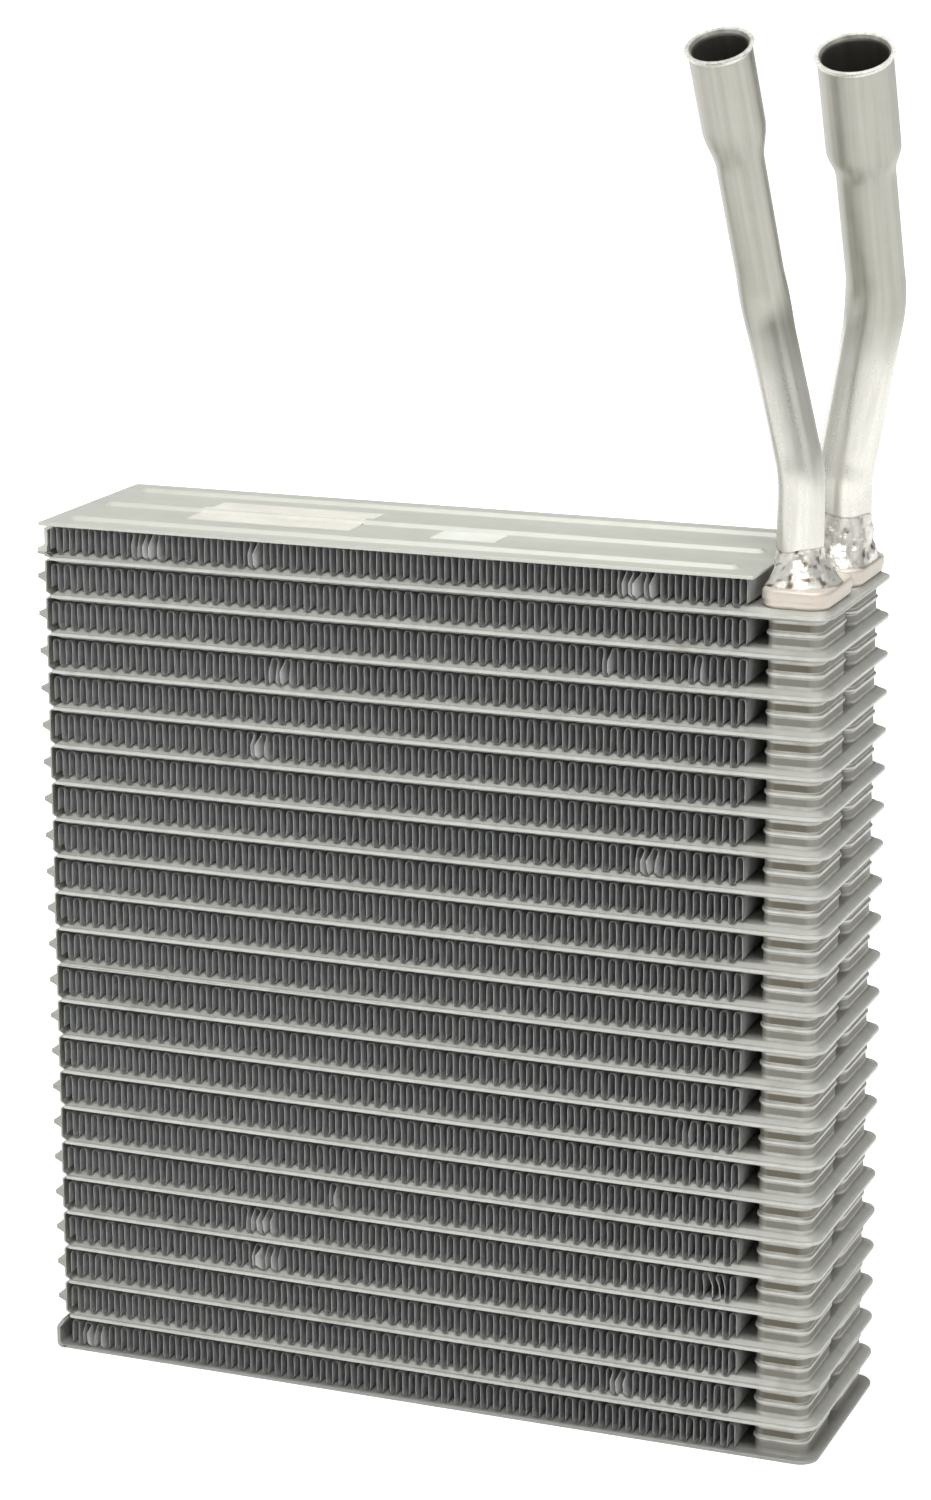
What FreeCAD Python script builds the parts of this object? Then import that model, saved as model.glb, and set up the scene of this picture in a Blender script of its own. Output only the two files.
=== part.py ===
"""Evaporator core of a vehicle air conditioner, laminated plate and fin kind.

Frame: millimetres, +Z up. The origin is the middle of the underside of the bottom end plate.
+X runs along the flat tubes towards the tank, +Y runs through the core from its front to its back.
"""

import FreeCAD
import Part

import math
import os

Vector = FreeCAD.Vector

# Core
CORE_LENGTH = 233.0
CORE_DEPTH = 64.0
TUBE_COUNT = 22
TUBE_PITCH = 10.9

# Stamped tube plates
PLATE_SHEET = 0.5
TUBE_THICKNESS = 3.2
FLANGE_WIDTH = 2.4
PLATE_CORNER = 5.5
CORNER_FLATS = 2

# Folded tabs that close the row of plates opposite the tank
TAB_REACH = 2.4
TAB_STRAIGHT = 3.4
TAB_MARGIN = 1.5
FIRST_TAB_RISE = 1.6
END_TAB_GAP = 0.7

# Drawn cups, which stack into the two tanks
CUP_LENGTH = 15.4
CUP_SETBACK = 0.8
CUP_CORNER = 3.5
TANK_GAP = 6.0
PORT_RIM = 2.4

# Corrugated fins
FIN_SHEET = 0.2
FIN_WALLS = 28
FIN_RECESS = 1.2
FIN_TAB_GAP = 1.7
FIN_TANK_GAP = 4.4

# End plates
END_SHEET = 1.0
TOP_PLATE_OVERHANG = 1.3
TOP_PLATE_TANK_GAP = 2.4
BOTTOM_BEND = 1.8
BOTTOM_LEAN_RISE = 2.6
RIB_WIDTH = 6.0
RIB_CREST = 2.6
RIB_RISE = 1.0
RIB_SPACING = 23.0
RIB_END_MARGIN = 6.0

# Pressed caps that close the tanks and carry the pipes
CAP_SHEET = 1.2
CAP_SKIRT = 1.6
CAP_OVERHANG = 1.8

# Refrigerant pipes
INLET_DIAMETER = 12.7
INLET_WALL = 1.2
INLET_BELL_DIAMETER = 16.5
INLET_BELL_LENGTH = 23.4
INLET_TAPER = 11.0
INLET_BEND_RADIUS = 28.0
INLET_LIP_DIAMETER = 18.2

OUTLET_DIAMETER = 15.875
OUTLET_WALL = 1.3
OUTLET_BELL_DIAMETER = 19.8
OUTLET_BELL_LENGTH = 28.0
OUTLET_TAPER = 7.0
OUTLET_BEND_RADIUS = 32.0
OUTLET_LIP_DIAMETER = 21.5

LIP_FLARE = 1.5
LIP_EDGE = 0.9

# Where each pipe stands on its cap, measured from the cap's middle
INLET_FOOT_X = -2.1
INLET_FOOT_Y = -0.4
OUTLET_FOOT_X = 0.7
OUTLET_FOOT_Y = -1.2

# Each pipe's route: the rise of a run and its lean along X and Y over that rise
INLET_RUNS = [
    (0.0, 0.0, 29.0),
    (-12.0, 3.5, 45.0),
    (-2.4, -35.0, 68.7),
]
OUTLET_RUNS = [
    (0.0, 0.0, 23.0),
    (7.4, 3.5, 48.0),
    (1.7, -34.0, 68.2),
]

# Bare paper labels on the top end plate: corner nearest the tab end and the front, length, depth
PAPER = 0.15
LABEL_X = -78.0
LABEL_LENGTH = 50.0
LABEL_DEPTH = 26.0
STICKER_X = -3.0
STICKER_LENGTH = 19.0
STICKER_DEPTH = 11.0
STICKER_RIB_GAP = 0.6

# Places that follow from the sizes above
X_TANK = CORE_LENGTH / 2
X_TAB = -CORE_LENGTH / 2
Y_FRONT = -CORE_DEPTH / 2
Y_BACK = CORE_DEPTH / 2
HALF_PITCH = TUBE_PITCH / 2
HALF_TUBE = TUBE_THICKNESS / 2
FIN_HEIGHT = TUBE_PITCH - TUBE_THICKNESS
X_WALL = X_TAB + TAB_REACH
CHANNEL_X0 = X_WALL + FLANGE_WIDTH
CHANNEL_X1 = X_TANK - FLANGE_WIDTH
CHANNEL_Y0 = Y_FRONT + FLANGE_WIDTH
CUP_X1 = CHANNEL_X1 - CUP_SETBACK
CUP_X0 = CUP_X1 - CUP_LENGTH
CUP_Y0 = CHANNEL_Y0 + CUP_SETBACK
CUP_Y1 = -TANK_GAP / 2
FIN_X0 = X_WALL + PLATE_SHEET + FIN_TAB_GAP
FIN_X1 = CUP_X0 - FIN_TANK_GAP
LOWEST_TUBE = END_SHEET + FIN_HEIGHT + HALF_TUBE
TOP_PLATE_Z = LOWEST_TUBE + (TUBE_COUNT - 1) * TUBE_PITCH + HALF_TUBE + FIN_HEIGHT
TANK_TOP = LOWEST_TUBE + (TUBE_COUNT - 1) * TUBE_PITCH + HALF_PITCH
CAP_TOP = TANK_TOP + CAP_SHEET


def flange_height(number):
    """Height of the plane where the two plates of a tube meet; tube 1 is the top one."""
    return LOWEST_TUBE + (TUBE_COUNT - number) * TUBE_PITCH


def corner_points(corner, inward_x, inward_y, radius, flats):
    """Points of one outline corner, rounded by a number of flats; a radius of 0 keeps it sharp."""
    if radius == 0:
        return [corner]
    middle = corner + Vector(inward_x, inward_y, 0) * radius
    turn_x = -inward_x
    turn_y = -inward_y
    points = []
    for step in range(flats + 1):
        angle = math.pi / 2 * step / flats
        reach = Vector(turn_x * math.cos(angle), turn_y * math.sin(angle), 0) * radius
        points.append(middle + reach)
    return points


def outline_block(x0, x1, y0, y1, z0, z1, radii=(0, 0, 0, 0), flats=1):
    """Upright block whose four corners, from front left round to back left, have their own radii."""
    front_left = corner_points(Vector(x0, y0, z0), 1, 1, radii[0], flats)
    front_right = corner_points(Vector(x1, y0, z0), -1, 1, radii[1], flats)
    back_right = corner_points(Vector(x1, y1, z0), -1, -1, radii[2], flats)
    back_left = corner_points(Vector(x0, y1, z0), 1, -1, radii[3], flats)
    points = front_left + front_right[::-1] + back_right + back_left[::-1]
    face = Part.Face(Part.makePolygon(points + points[:1]))
    return face.extrude(Vector(0, 0, z1 - z0))


def section_strip(points, y0, y1):
    """Strip along Y with the given closed outline in X and Z."""
    corners = [Vector(x, y0, z) for x, z in points]
    face = Part.Face(Part.makePolygon(corners + corners[:1]))
    return face.extrude(Vector(0, y1 - y0, 0))


def join(first, others):
    """One solid from several that touch or overlap, without leftover edges."""
    return first.fuse(others).removeSplitter()


def mirrored_y(shape):
    """The same shape at the back instead of the front."""
    return shape.mirror(Vector(0, 0, 0), Vector(0, 1, 0))


def front_cup(z0, z1, grow=0.0):
    """Block of one drawn cup of the front tank, with its four corners rounded."""
    radii = (CUP_CORNER + grow,) * 4
    return outline_block(CUP_X0 - grow, CUP_X1 + grow, CUP_Y0 - grow, CUP_Y1 + grow, z0, z1, radii)


def front_port(z0, z1):
    """Block of the open port inside a front cup."""
    x0 = CUP_X0 + PORT_RIM
    x1 = CUP_X1 - PORT_RIM
    y0 = CUP_Y0 + PORT_RIM
    y1 = CUP_Y1 - PORT_RIM
    return outline_block(x0, x1, y0, y1, z0, z1)


def end_tab(sheet, z0, height, straight):
    """Folded tab at the end away from the tank: a wall that ends in a lip turned outwards."""
    lean = (height - straight) / TAB_REACH
    points = [
        (X_WALL, z0),
        (X_WALL, z0 + straight),
        (X_TAB, z0 + height),
        (X_TAB + sheet, z0 + height),
        (X_WALL + sheet, z0 + straight + sheet * lean),
        (X_WALL + sheet, z0),
    ]
    return section_strip(points, Y_FRONT + TAB_MARGIN, Y_BACK - TAB_MARGIN)


def stamped_plate(tab=None):
    """Upper stamped plate of a tube, with its mating plane at height 0 and the tab it is given."""
    tank_corners = (0, PLATE_CORNER, PLATE_CORNER, 0)
    flange = outline_block(X_WALL, X_TANK, Y_FRONT, Y_BACK, 0, PLATE_SHEET, tank_corners, CORNER_FLATS)
    ends = (0, CUP_CORNER, CUP_CORNER, 0)
    channel = outline_block(CHANNEL_X0, CHANNEL_X1, CHANNEL_Y0, -CHANNEL_Y0, 0, HALF_TUBE, ends)
    cup = front_cup(0, HALF_PITCH)
    pieces = [channel, cup, mirrored_y(cup)]
    if tab is not None:
        pieces.append(tab)
    inside = outline_block(
        CHANNEL_X0 + PLATE_SHEET,
        CHANNEL_X1 - PLATE_SHEET,
        CHANNEL_Y0 + PLATE_SHEET,
        -CHANNEL_Y0 - PLATE_SHEET,
        0,
        HALF_TUBE - PLATE_SHEET,
        ends,
    )
    port = front_port(0, HALF_PITCH)
    return join(flange, pieces).cut([inside, port, mirrored_y(port)])


def turned_over(plate):
    """The same stamping turned over about the tube's length, as a tube's lower plate."""
    copy = plate.copy()
    copy.rotate(Vector(0, 0, 0), Vector(1, 0, 0), 180)
    return copy


def fin_strip():
    """Corrugated fin strip, folded from one sheet, with its lowest folds at height 0."""
    spacing = (FIN_X1 - FIN_X0) / FIN_WALLS
    slope = math.hypot(spacing, FIN_HEIGHT) / spacing
    upright = FIN_SHEET * slope
    lower = []
    upper = []
    for fold in range(FIN_WALLS + 1):
        x = FIN_X0 + fold * spacing
        z = 0 if fold % 2 == 0 else FIN_HEIGHT - upright
        lower.append((x, z))
        upper.append((x, z + upright))
    return section_strip(lower + upper[::-1], Y_FRONT + FIN_RECESS, Y_BACK - FIN_RECESS)


def rib(y, x0, x1, z0, shrink=0.0):
    """Pressed bead along the top end plate, with sloping sides and ends."""
    slope = (RIB_WIDTH - RIB_CREST) / 2
    half = RIB_WIDTH / 2 - shrink
    crest = RIB_CREST / 2 - shrink
    foot = Part.makePolygon(
        [
            Vector(x0 + shrink, y - half, z0),
            Vector(x1 - shrink, y - half, z0),
            Vector(x1 - shrink, y + half, z0),
            Vector(x0 + shrink, y + half, z0),
            Vector(x0 + shrink, y - half, z0),
        ]
    )
    top = Part.makePolygon(
        [
            Vector(x0 + slope + shrink, y - crest, z0 + RIB_RISE),
            Vector(x1 - slope - shrink, y - crest, z0 + RIB_RISE),
            Vector(x1 - slope - shrink, y + crest, z0 + RIB_RISE),
            Vector(x0 + slope + shrink, y + crest, z0 + RIB_RISE),
            Vector(x0 + slope + shrink, y - crest, z0 + RIB_RISE),
        ]
    )
    return Part.makeLoft([foot, top], True, True)


def top_end_plate():
    """Pressed top plate: three ribs, and its end folded under and down to the first tube."""
    x1 = CUP_X0 - TOP_PLATE_TANK_GAP
    z1 = TOP_PLATE_Z + END_SHEET
    x0 = X_WALL - TOP_PLATE_OVERHANG
    sheet = outline_block(x0, x1, Y_FRONT, Y_BACK, TOP_PLATE_Z, z1)
    drop = TOP_PLATE_Z - flange_height(1) - FIRST_TAB_RISE
    wall = end_tab(END_SHEET, 0, drop, drop - HALF_PITCH + TAB_STRAIGHT)
    wall.rotate(Vector(0, 0, 0), Vector(1, 0, 0), 180)
    wall.translate(Vector(0, 0, TOP_PLATE_Z))
    rib_x0 = x0 + RIB_END_MARGIN
    rib_x1 = x1 - RIB_END_MARGIN
    places = [-RIB_SPACING, 0, RIB_SPACING]
    beads = [rib(y, rib_x0, rib_x1, z1) for y in places]
    hollows = [rib(y, rib_x0, rib_x1, TOP_PLATE_Z, PLATE_SHEET) for y in places]
    return join(sheet, [wall] + beads).cut(hollows)


def bottom_wall(bend_x):
    """Bent-up end of the bottom plate: a wall outside the row of tabs that leans in to the last tube."""
    top = flange_height(TUBE_COUNT) - PLATE_SHEET - END_TAB_GAP
    lean_z = top - BOTTOM_LEAN_RISE
    half = END_SHEET / 2
    points = [
        (bend_x, 0),
        (X_TAB, BOTTOM_BEND),
        (X_TAB, lean_z),
        (X_WALL - half, top),
        (X_WALL + half, top),
        (X_TAB + END_SHEET, lean_z - half),
        (X_TAB + END_SHEET, BOTTOM_BEND + half),
        (bend_x + half, END_SHEET),
        (bend_x + half, 0),
    ]
    return section_strip(points, Y_FRONT, Y_BACK)


def bottom_end_plate():
    """Pressed bottom plate: two drawn pads close the tanks, and its end is bent up to the last tube."""
    tank_corners = (0, PLATE_CORNER, PLATE_CORNER, 0)
    bend_x = X_TAB + BOTTOM_BEND
    sheet = outline_block(bend_x, X_TANK, Y_FRONT, Y_BACK, 0, END_SHEET, tank_corners, CORNER_FLATS)
    pad_top = LOWEST_TUBE - HALF_PITCH
    pad = front_cup(0, pad_top)
    hollow = front_port(0, pad_top - END_SHEET)
    body = join(sheet, [pad, mirrored_y(pad), bottom_wall(bend_x)])
    return body.cut([hollow, mirrored_y(hollow)])


def front_cap(hole_radius, foot):
    """Pressed cap over the mouth of the front tank, with a hole under the pipe's foot."""
    block = front_cup(TANK_TOP - CAP_SKIRT, CAP_TOP, CAP_OVERHANG)
    pocket = front_cup(TANK_TOP - CAP_SKIRT, TANK_TOP)
    hole = Part.makeCylinder(hole_radius, CAP_SHEET, Vector(foot.x, foot.y, TANK_TOP))
    return block.cut([pocket, hole])


def route_points(foot, runs):
    """Corners of a pipe's centre line, from its foot to its mouth."""
    points = [foot]
    for run in runs:
        points.append(points[-1] + Vector(*run))
    return points


def bend(before, corner, after, bend_radius, radius):
    """Round bar through one bend, with the lengths of straight pipe that the bend takes up."""
    incoming = (corner - before).normalize()
    outgoing = (after - corner).normalize()
    turn = incoming.getAngle(outgoing)
    tangent = bend_radius * math.tan(turn / 2)
    start = corner - incoming * tangent
    axis = incoming.cross(outgoing).normalize()
    centre = start + axis.cross(incoming) * bend_radius
    disc = Part.Face(Part.Wire(Part.makeCircle(radius, start, incoming)))
    return start, corner + outgoing * tangent, disc.revolve(centre, axis, math.degrees(turn))


def bent_bar(points, bend_radius, radius):
    """Round bar that follows the route, straight runs joined by tangent bends."""
    pieces = []
    start = points[0]
    for number in range(1, len(points) - 1):
        bend_start, bend_end, elbow = bend(
            points[number - 1], points[number], points[number + 1], bend_radius, radius
        )
        run = bend_start - start
        pieces.append(Part.makeCylinder(radius, run.Length, start, run))
        pieces.append(elbow)
        start = bend_end
    run = points[-1] - start
    pieces.append(Part.makeCylinder(radius, run.Length, start, run))
    return join(pieces[0], pieces[1:])


def turned_end(profile, mouth, direction):
    """Solid of revolution about the pipe's end; the profile gives radius and distance from the mouth."""
    points = [Vector(radius, 0, -back) for radius, back in profile]
    face = Part.Face(Part.makePolygon(points + points[:1]))
    solid = face.revolve(Vector(0, 0, 0), Vector(0, 0, 1), 360)
    turn = FreeCAD.Rotation(Vector(0, 0, 1), direction)
    solid.Placement = FreeCAD.Placement(mouth, turn)
    return solid


def pipe(foot, runs, diameter, wall, bell_diameter, bell_length, taper, bend_radius, lip_diameter):
    """Bent pipe with its end swelled to a bell socket and flared at the mouth."""
    points = route_points(foot, runs)
    mouth = points[-1]
    direction = (mouth - points[-2]).normalize()
    outer = diameter / 2
    bell = bell_diameter / 2
    lip = lip_diameter / 2
    outside = [
        (0, 0),
        (lip - LIP_EDGE / 2, 0),
        (lip, LIP_EDGE / 2),
        (bell, LIP_FLARE),
        (bell, bell_length),
        (outer, bell_length + taper),
        (0, bell_length + taper),
    ]
    inside = [
        (0, 0),
        (lip - LIP_EDGE - wall, 0),
        (bell - wall, LIP_FLARE),
        (bell - wall, bell_length),
        (outer - wall, bell_length + taper),
        (0, bell_length + taper),
    ]
    body = join(bent_bar(points, bend_radius, outer), [turned_end(outside, mouth, direction)])
    bore = join(bent_bar(points, bend_radius, outer - wall), [turned_end(inside, mouth, direction)])
    return body.cut(bore)


def label():
    """Bare paper label that follows the middle rib of the top end plate."""
    z = TOP_PLATE_Z + END_SHEET
    half = LABEL_DEPTH / 2
    foot = RIB_WIDTH / 2
    crest = RIB_CREST / 2
    lower = [(-half, z), (-foot, z), (-crest, z + RIB_RISE), (crest, z + RIB_RISE), (foot, z), (half, z)]
    corners = [Vector(LABEL_X, y, height) for y, height in lower]
    corners += [Vector(LABEL_X, y, height + PAPER) for y, height in lower[::-1]]
    face = Part.Face(Part.makePolygon(corners + corners[:1]))
    return face.extrude(Vector(LABEL_LENGTH, 0, 0))


def sticker():
    """Small bare sticker in front of the middle rib."""
    z = TOP_PLATE_Z + END_SHEET
    y1 = -RIB_WIDTH / 2 - STICKER_RIB_GAP
    return outline_block(STICKER_X, STICKER_X + STICKER_LENGTH, y1 - STICKER_DEPTH, y1, z, z + PAPER)


def raised(shape, height):
    """Copy of a shape, moved up."""
    copy = shape.copy()
    copy.translate(Vector(0, 0, height))
    return copy


def build():
    """All the solids by node name."""
    nodes = {"top_end_plate": top_end_plate(), "bottom_end_plate": bottom_end_plate()}
    tabbed = stamped_plate(end_tab(PLATE_SHEET, 0, HALF_PITCH, TAB_STRAIGHT))
    first = stamped_plate(end_tab(PLATE_SHEET, 0, FIRST_TAB_RISE, 0))
    last = stamped_plate()
    for number in range(1, TUBE_COUNT + 1):
        height = flange_height(number)
        upper = first if number == 1 else tabbed
        lower = turned_over(last if number == TUBE_COUNT else tabbed)
        pair = [raised(upper, height), raised(lower, height)]
        nodes["tube_%02d" % number] = Part.makeCompound(pair)
    strip = fin_strip()
    for number in range(1, TUBE_COUNT + 2):
        nodes["fin_%02d" % number] = raised(strip, flange_height(number) + HALF_TUBE)

    cap_x = (CUP_X0 + CUP_X1) / 2
    cap_y = (CUP_Y0 + CUP_Y1) / 2
    inlet_foot = Vector(cap_x + INLET_FOOT_X, cap_y + INLET_FOOT_Y, CAP_TOP)
    outlet_foot = Vector(cap_x + OUTLET_FOOT_X, -cap_y + OUTLET_FOOT_Y, CAP_TOP)
    nodes["inlet_cap"] = front_cap(INLET_DIAMETER / 2 - INLET_WALL, inlet_foot)
    mirrored_foot = Vector(outlet_foot.x, -outlet_foot.y, CAP_TOP)
    nodes["outlet_cap"] = mirrored_y(front_cap(OUTLET_DIAMETER / 2 - OUTLET_WALL, mirrored_foot))
    nodes["inlet_pipe"] = pipe(
        inlet_foot,
        INLET_RUNS,
        INLET_DIAMETER,
        INLET_WALL,
        INLET_BELL_DIAMETER,
        INLET_BELL_LENGTH,
        INLET_TAPER,
        INLET_BEND_RADIUS,
        INLET_LIP_DIAMETER,
    )
    nodes["outlet_pipe"] = pipe(
        outlet_foot,
        OUTLET_RUNS,
        OUTLET_DIAMETER,
        OUTLET_WALL,
        OUTLET_BELL_DIAMETER,
        OUTLET_BELL_LENGTH,
        OUTLET_TAPER,
        OUTLET_BEND_RADIUS,
        OUTLET_LIP_DIAMETER,
    )
    nodes["blank_label"] = label()
    nodes["blank_sticker"] = sticker()
    return nodes


os.makedirs("parts", exist_ok=True)
for name, shape in build().items():
    shape.exportStep("parts/%s.step" % name)
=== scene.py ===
"""Looks of an evaporator core of the laminated plate and fin kind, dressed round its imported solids.

Sizes are in millimetres unless a name says otherwise. Meshes are made in metres, in the frame of the
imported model: X along the tubes to the tank, Y from front to back, Z up.
"""

import logging
import math
from collections.abc import Sequence
from dataclasses import dataclass, field, replace
from enum import Enum
from typing import NamedTuple

import bmesh
import bpy
from mathutils import Matrix, Vector, noise
from mathutils.geometry import tessellate_polygon


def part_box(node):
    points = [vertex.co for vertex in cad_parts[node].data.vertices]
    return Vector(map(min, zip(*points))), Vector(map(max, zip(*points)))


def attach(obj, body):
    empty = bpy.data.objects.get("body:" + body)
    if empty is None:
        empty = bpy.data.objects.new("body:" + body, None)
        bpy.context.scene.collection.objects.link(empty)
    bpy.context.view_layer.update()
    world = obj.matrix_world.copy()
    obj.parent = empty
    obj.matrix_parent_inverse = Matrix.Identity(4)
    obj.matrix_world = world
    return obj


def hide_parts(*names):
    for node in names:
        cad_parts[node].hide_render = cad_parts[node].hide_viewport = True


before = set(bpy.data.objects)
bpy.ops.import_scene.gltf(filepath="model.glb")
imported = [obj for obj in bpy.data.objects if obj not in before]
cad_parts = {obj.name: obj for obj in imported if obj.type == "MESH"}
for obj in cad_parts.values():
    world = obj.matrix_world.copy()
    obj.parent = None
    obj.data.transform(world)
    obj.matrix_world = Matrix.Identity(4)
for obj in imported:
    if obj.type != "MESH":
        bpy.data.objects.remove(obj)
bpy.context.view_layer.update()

MM = 0.001
BODY = "root"
PHOTO_HEIGHT = 1500

# Pieces that an arc is made of: in a section, in one that hardly shows, and at an outline's corner.
ARC_STEPS = 5
FEW_STEPS = 3
CORNER_STEPS = 6

# The least radius of an outline corner.
SHARPEST_RADIUS = 0.05

# In metres, because they work on finished meshes.
MERGE_DISTANCE = 1e-7
LEAST_EDGE = 1e-8

SMOOTH_ANGLE = math.radians(38)
FOIL_SMOOTH_ANGLE = math.radians(52)

# Where most values of Blender's noise lie.
NOISE_RANGE = (0.3, 0.7)

# Names of the values stored at each point: how much painted highlight and rubbing brighten it,
# how much painted shade and stain darken it, and the place along and round a pipe.
HIGHLIGHT_AND_POLISH = "highlight_and_polish"
SHADE_AND_STAIN = "darkening"
FLOW = "flow"

Colour = tuple[float, float, float, float]
Profile = list[tuple[float, float]]

log = logging.getLogger("evaporator_core")


class Half(Enum):
    """Which of a tube's two stamped plates."""

    UPPER = 1
    LOWER = -1


class PaintedLightAndWear(NamedTuple):
    """Painted highlight and rubbing that brighten a surface, painted shade and stain that darken it,
    each 0 to 1.
    """

    highlight_and_polish: float = 0.0
    darkening: float = 0.0


BARE = PaintedLightAndWear()


class Pattern(Enum):
    """What a finish's pattern follows: the piece's place, or the flow stored along a pipe."""

    PLACE = "place"
    FLOW = "flow"


def within_one(value: float) -> float:
    """Keeps a number between 0 and 1."""
    return min(max(value, 0.0), 1.0)


def eased(share: float) -> float:
    """Turns a straight ramp from 0 to 1 into a smooth one."""
    return share * share * (3 - 2 * share)


def unit_circle(count: int) -> Profile:
    """Gives the cosine and sine of evenly spread angles, once round."""
    angles = [2 * math.pi * number / count for number in range(count)]
    return [(math.cos(angle), math.sin(angle)) for angle in angles]


def place_object(name: str, data: bpy.types.ID) -> bpy.types.Object:
    """Makes an object from its data and links it to the scene."""
    item = bpy.data.objects.new(name, data)
    bpy.context.scene.collection.objects.link(item)
    return item


def box_mm(node: str) -> tuple[Vector, Vector]:
    """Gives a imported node's box at rest.

    Args:
        node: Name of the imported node.

    Returns:
        The lowest and the highest corner, in millimetres.
    """
    low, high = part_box(node)
    return low / MM, high / MM


def rounded_path(corners: list[tuple[float, float, float]], steps: int = ARC_STEPS) -> Profile:
    """Rounds the corners of an open path with tangent arcs.

    Args:
        corners: Each corner's two coordinates and its radius; a radius of 0 stays sharp.
        steps: Number of pieces that each arc is made of.

    Returns:
        The points of the rounded path.
    """
    path: Profile = []
    for number, (u, v, radius) in enumerate(corners):
        corner = Vector((u, v))
        if radius == 0 or number in (0, len(corners) - 1):
            path.append((u, v))
            continue
        before = (Vector(corners[number - 1][:2]) - corner).normalized()
        after = (Vector(corners[number + 1][:2]) - corner).normalized()
        half_angle = before.angle(after) / 2
        reach = radius / math.tan(half_angle)
        centre = corner + (before + after).normalized() * (radius / math.sin(half_angle))
        start = corner + before * reach - centre
        end = corner + after * reach - centre
        turn = start.angle_signed(end)
        for step in range(steps + 1):
            arm = start.copy()
            arm.rotate(Matrix.Rotation(-turn * step / steps, 2))
            path.append(tuple(centre + arm))
    return path


def thickened(path: Profile, sheet: float) -> Profile:
    """Closes an open path into the section of a bent sheet.

    Args:
        path: Points of the sheet's outer line.
        sheet: Thickness, laid to the right of the path's direction.

    Returns:
        The points of the closed section.
    """
    inner: Profile = []
    for number, point in enumerate(path):
        before = Vector(path[max(number - 1, 0)])
        after = Vector(path[min(number + 1, len(path) - 1)])
        along = (after - before).normalized()
        inner.append((point[0] + along.y * sheet, point[1] - along.x * sheet))
    return path + inner[::-1]


@dataclass(frozen=True)
class Outline:
    """Rectangle with a radius of its own at each corner, from front left round to back left."""

    x0: float
    x1: float
    y0: float
    y1: float
    radii: tuple[float, float, float, float]

    def points(self, inset: float = 0.0) -> Profile:
        """Gives the outline, drawn in by a distance.

        Args:
            inset: Distance inwards; a negative one grows the outline.

        Returns:
            Points from the front left corner, counter-clockwise seen from above.
        """
        x0, x1 = self.x0 + inset, self.x1 - inset
        y0, y1 = self.y0 + inset, self.y1 - inset
        points: Profile = []
        for number, radius in enumerate(self.radii):
            r = max(radius - inset, SHARPEST_RADIUS)
            middle_x = x0 + r if number in (0, 3) else x1 - r
            middle_y = y0 + r if number in (0, 1) else y1 - r
            for step in range(CORNER_STEPS + 1):
                angle = math.pi + math.pi / 2 * (number + step / CORNER_STEPS)
                points.append((middle_x + r * math.cos(angle), middle_y + r * math.sin(angle)))
        return points

    def mirrored(self) -> "Outline":
        """Gives the same outline at the back instead of the front."""
        front_left, front_right, back_right, back_left = self.radii
        radii = (back_left, back_right, front_right, front_left)
        return Outline(self.x0, self.x1, -self.y1, -self.y0, radii)


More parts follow.
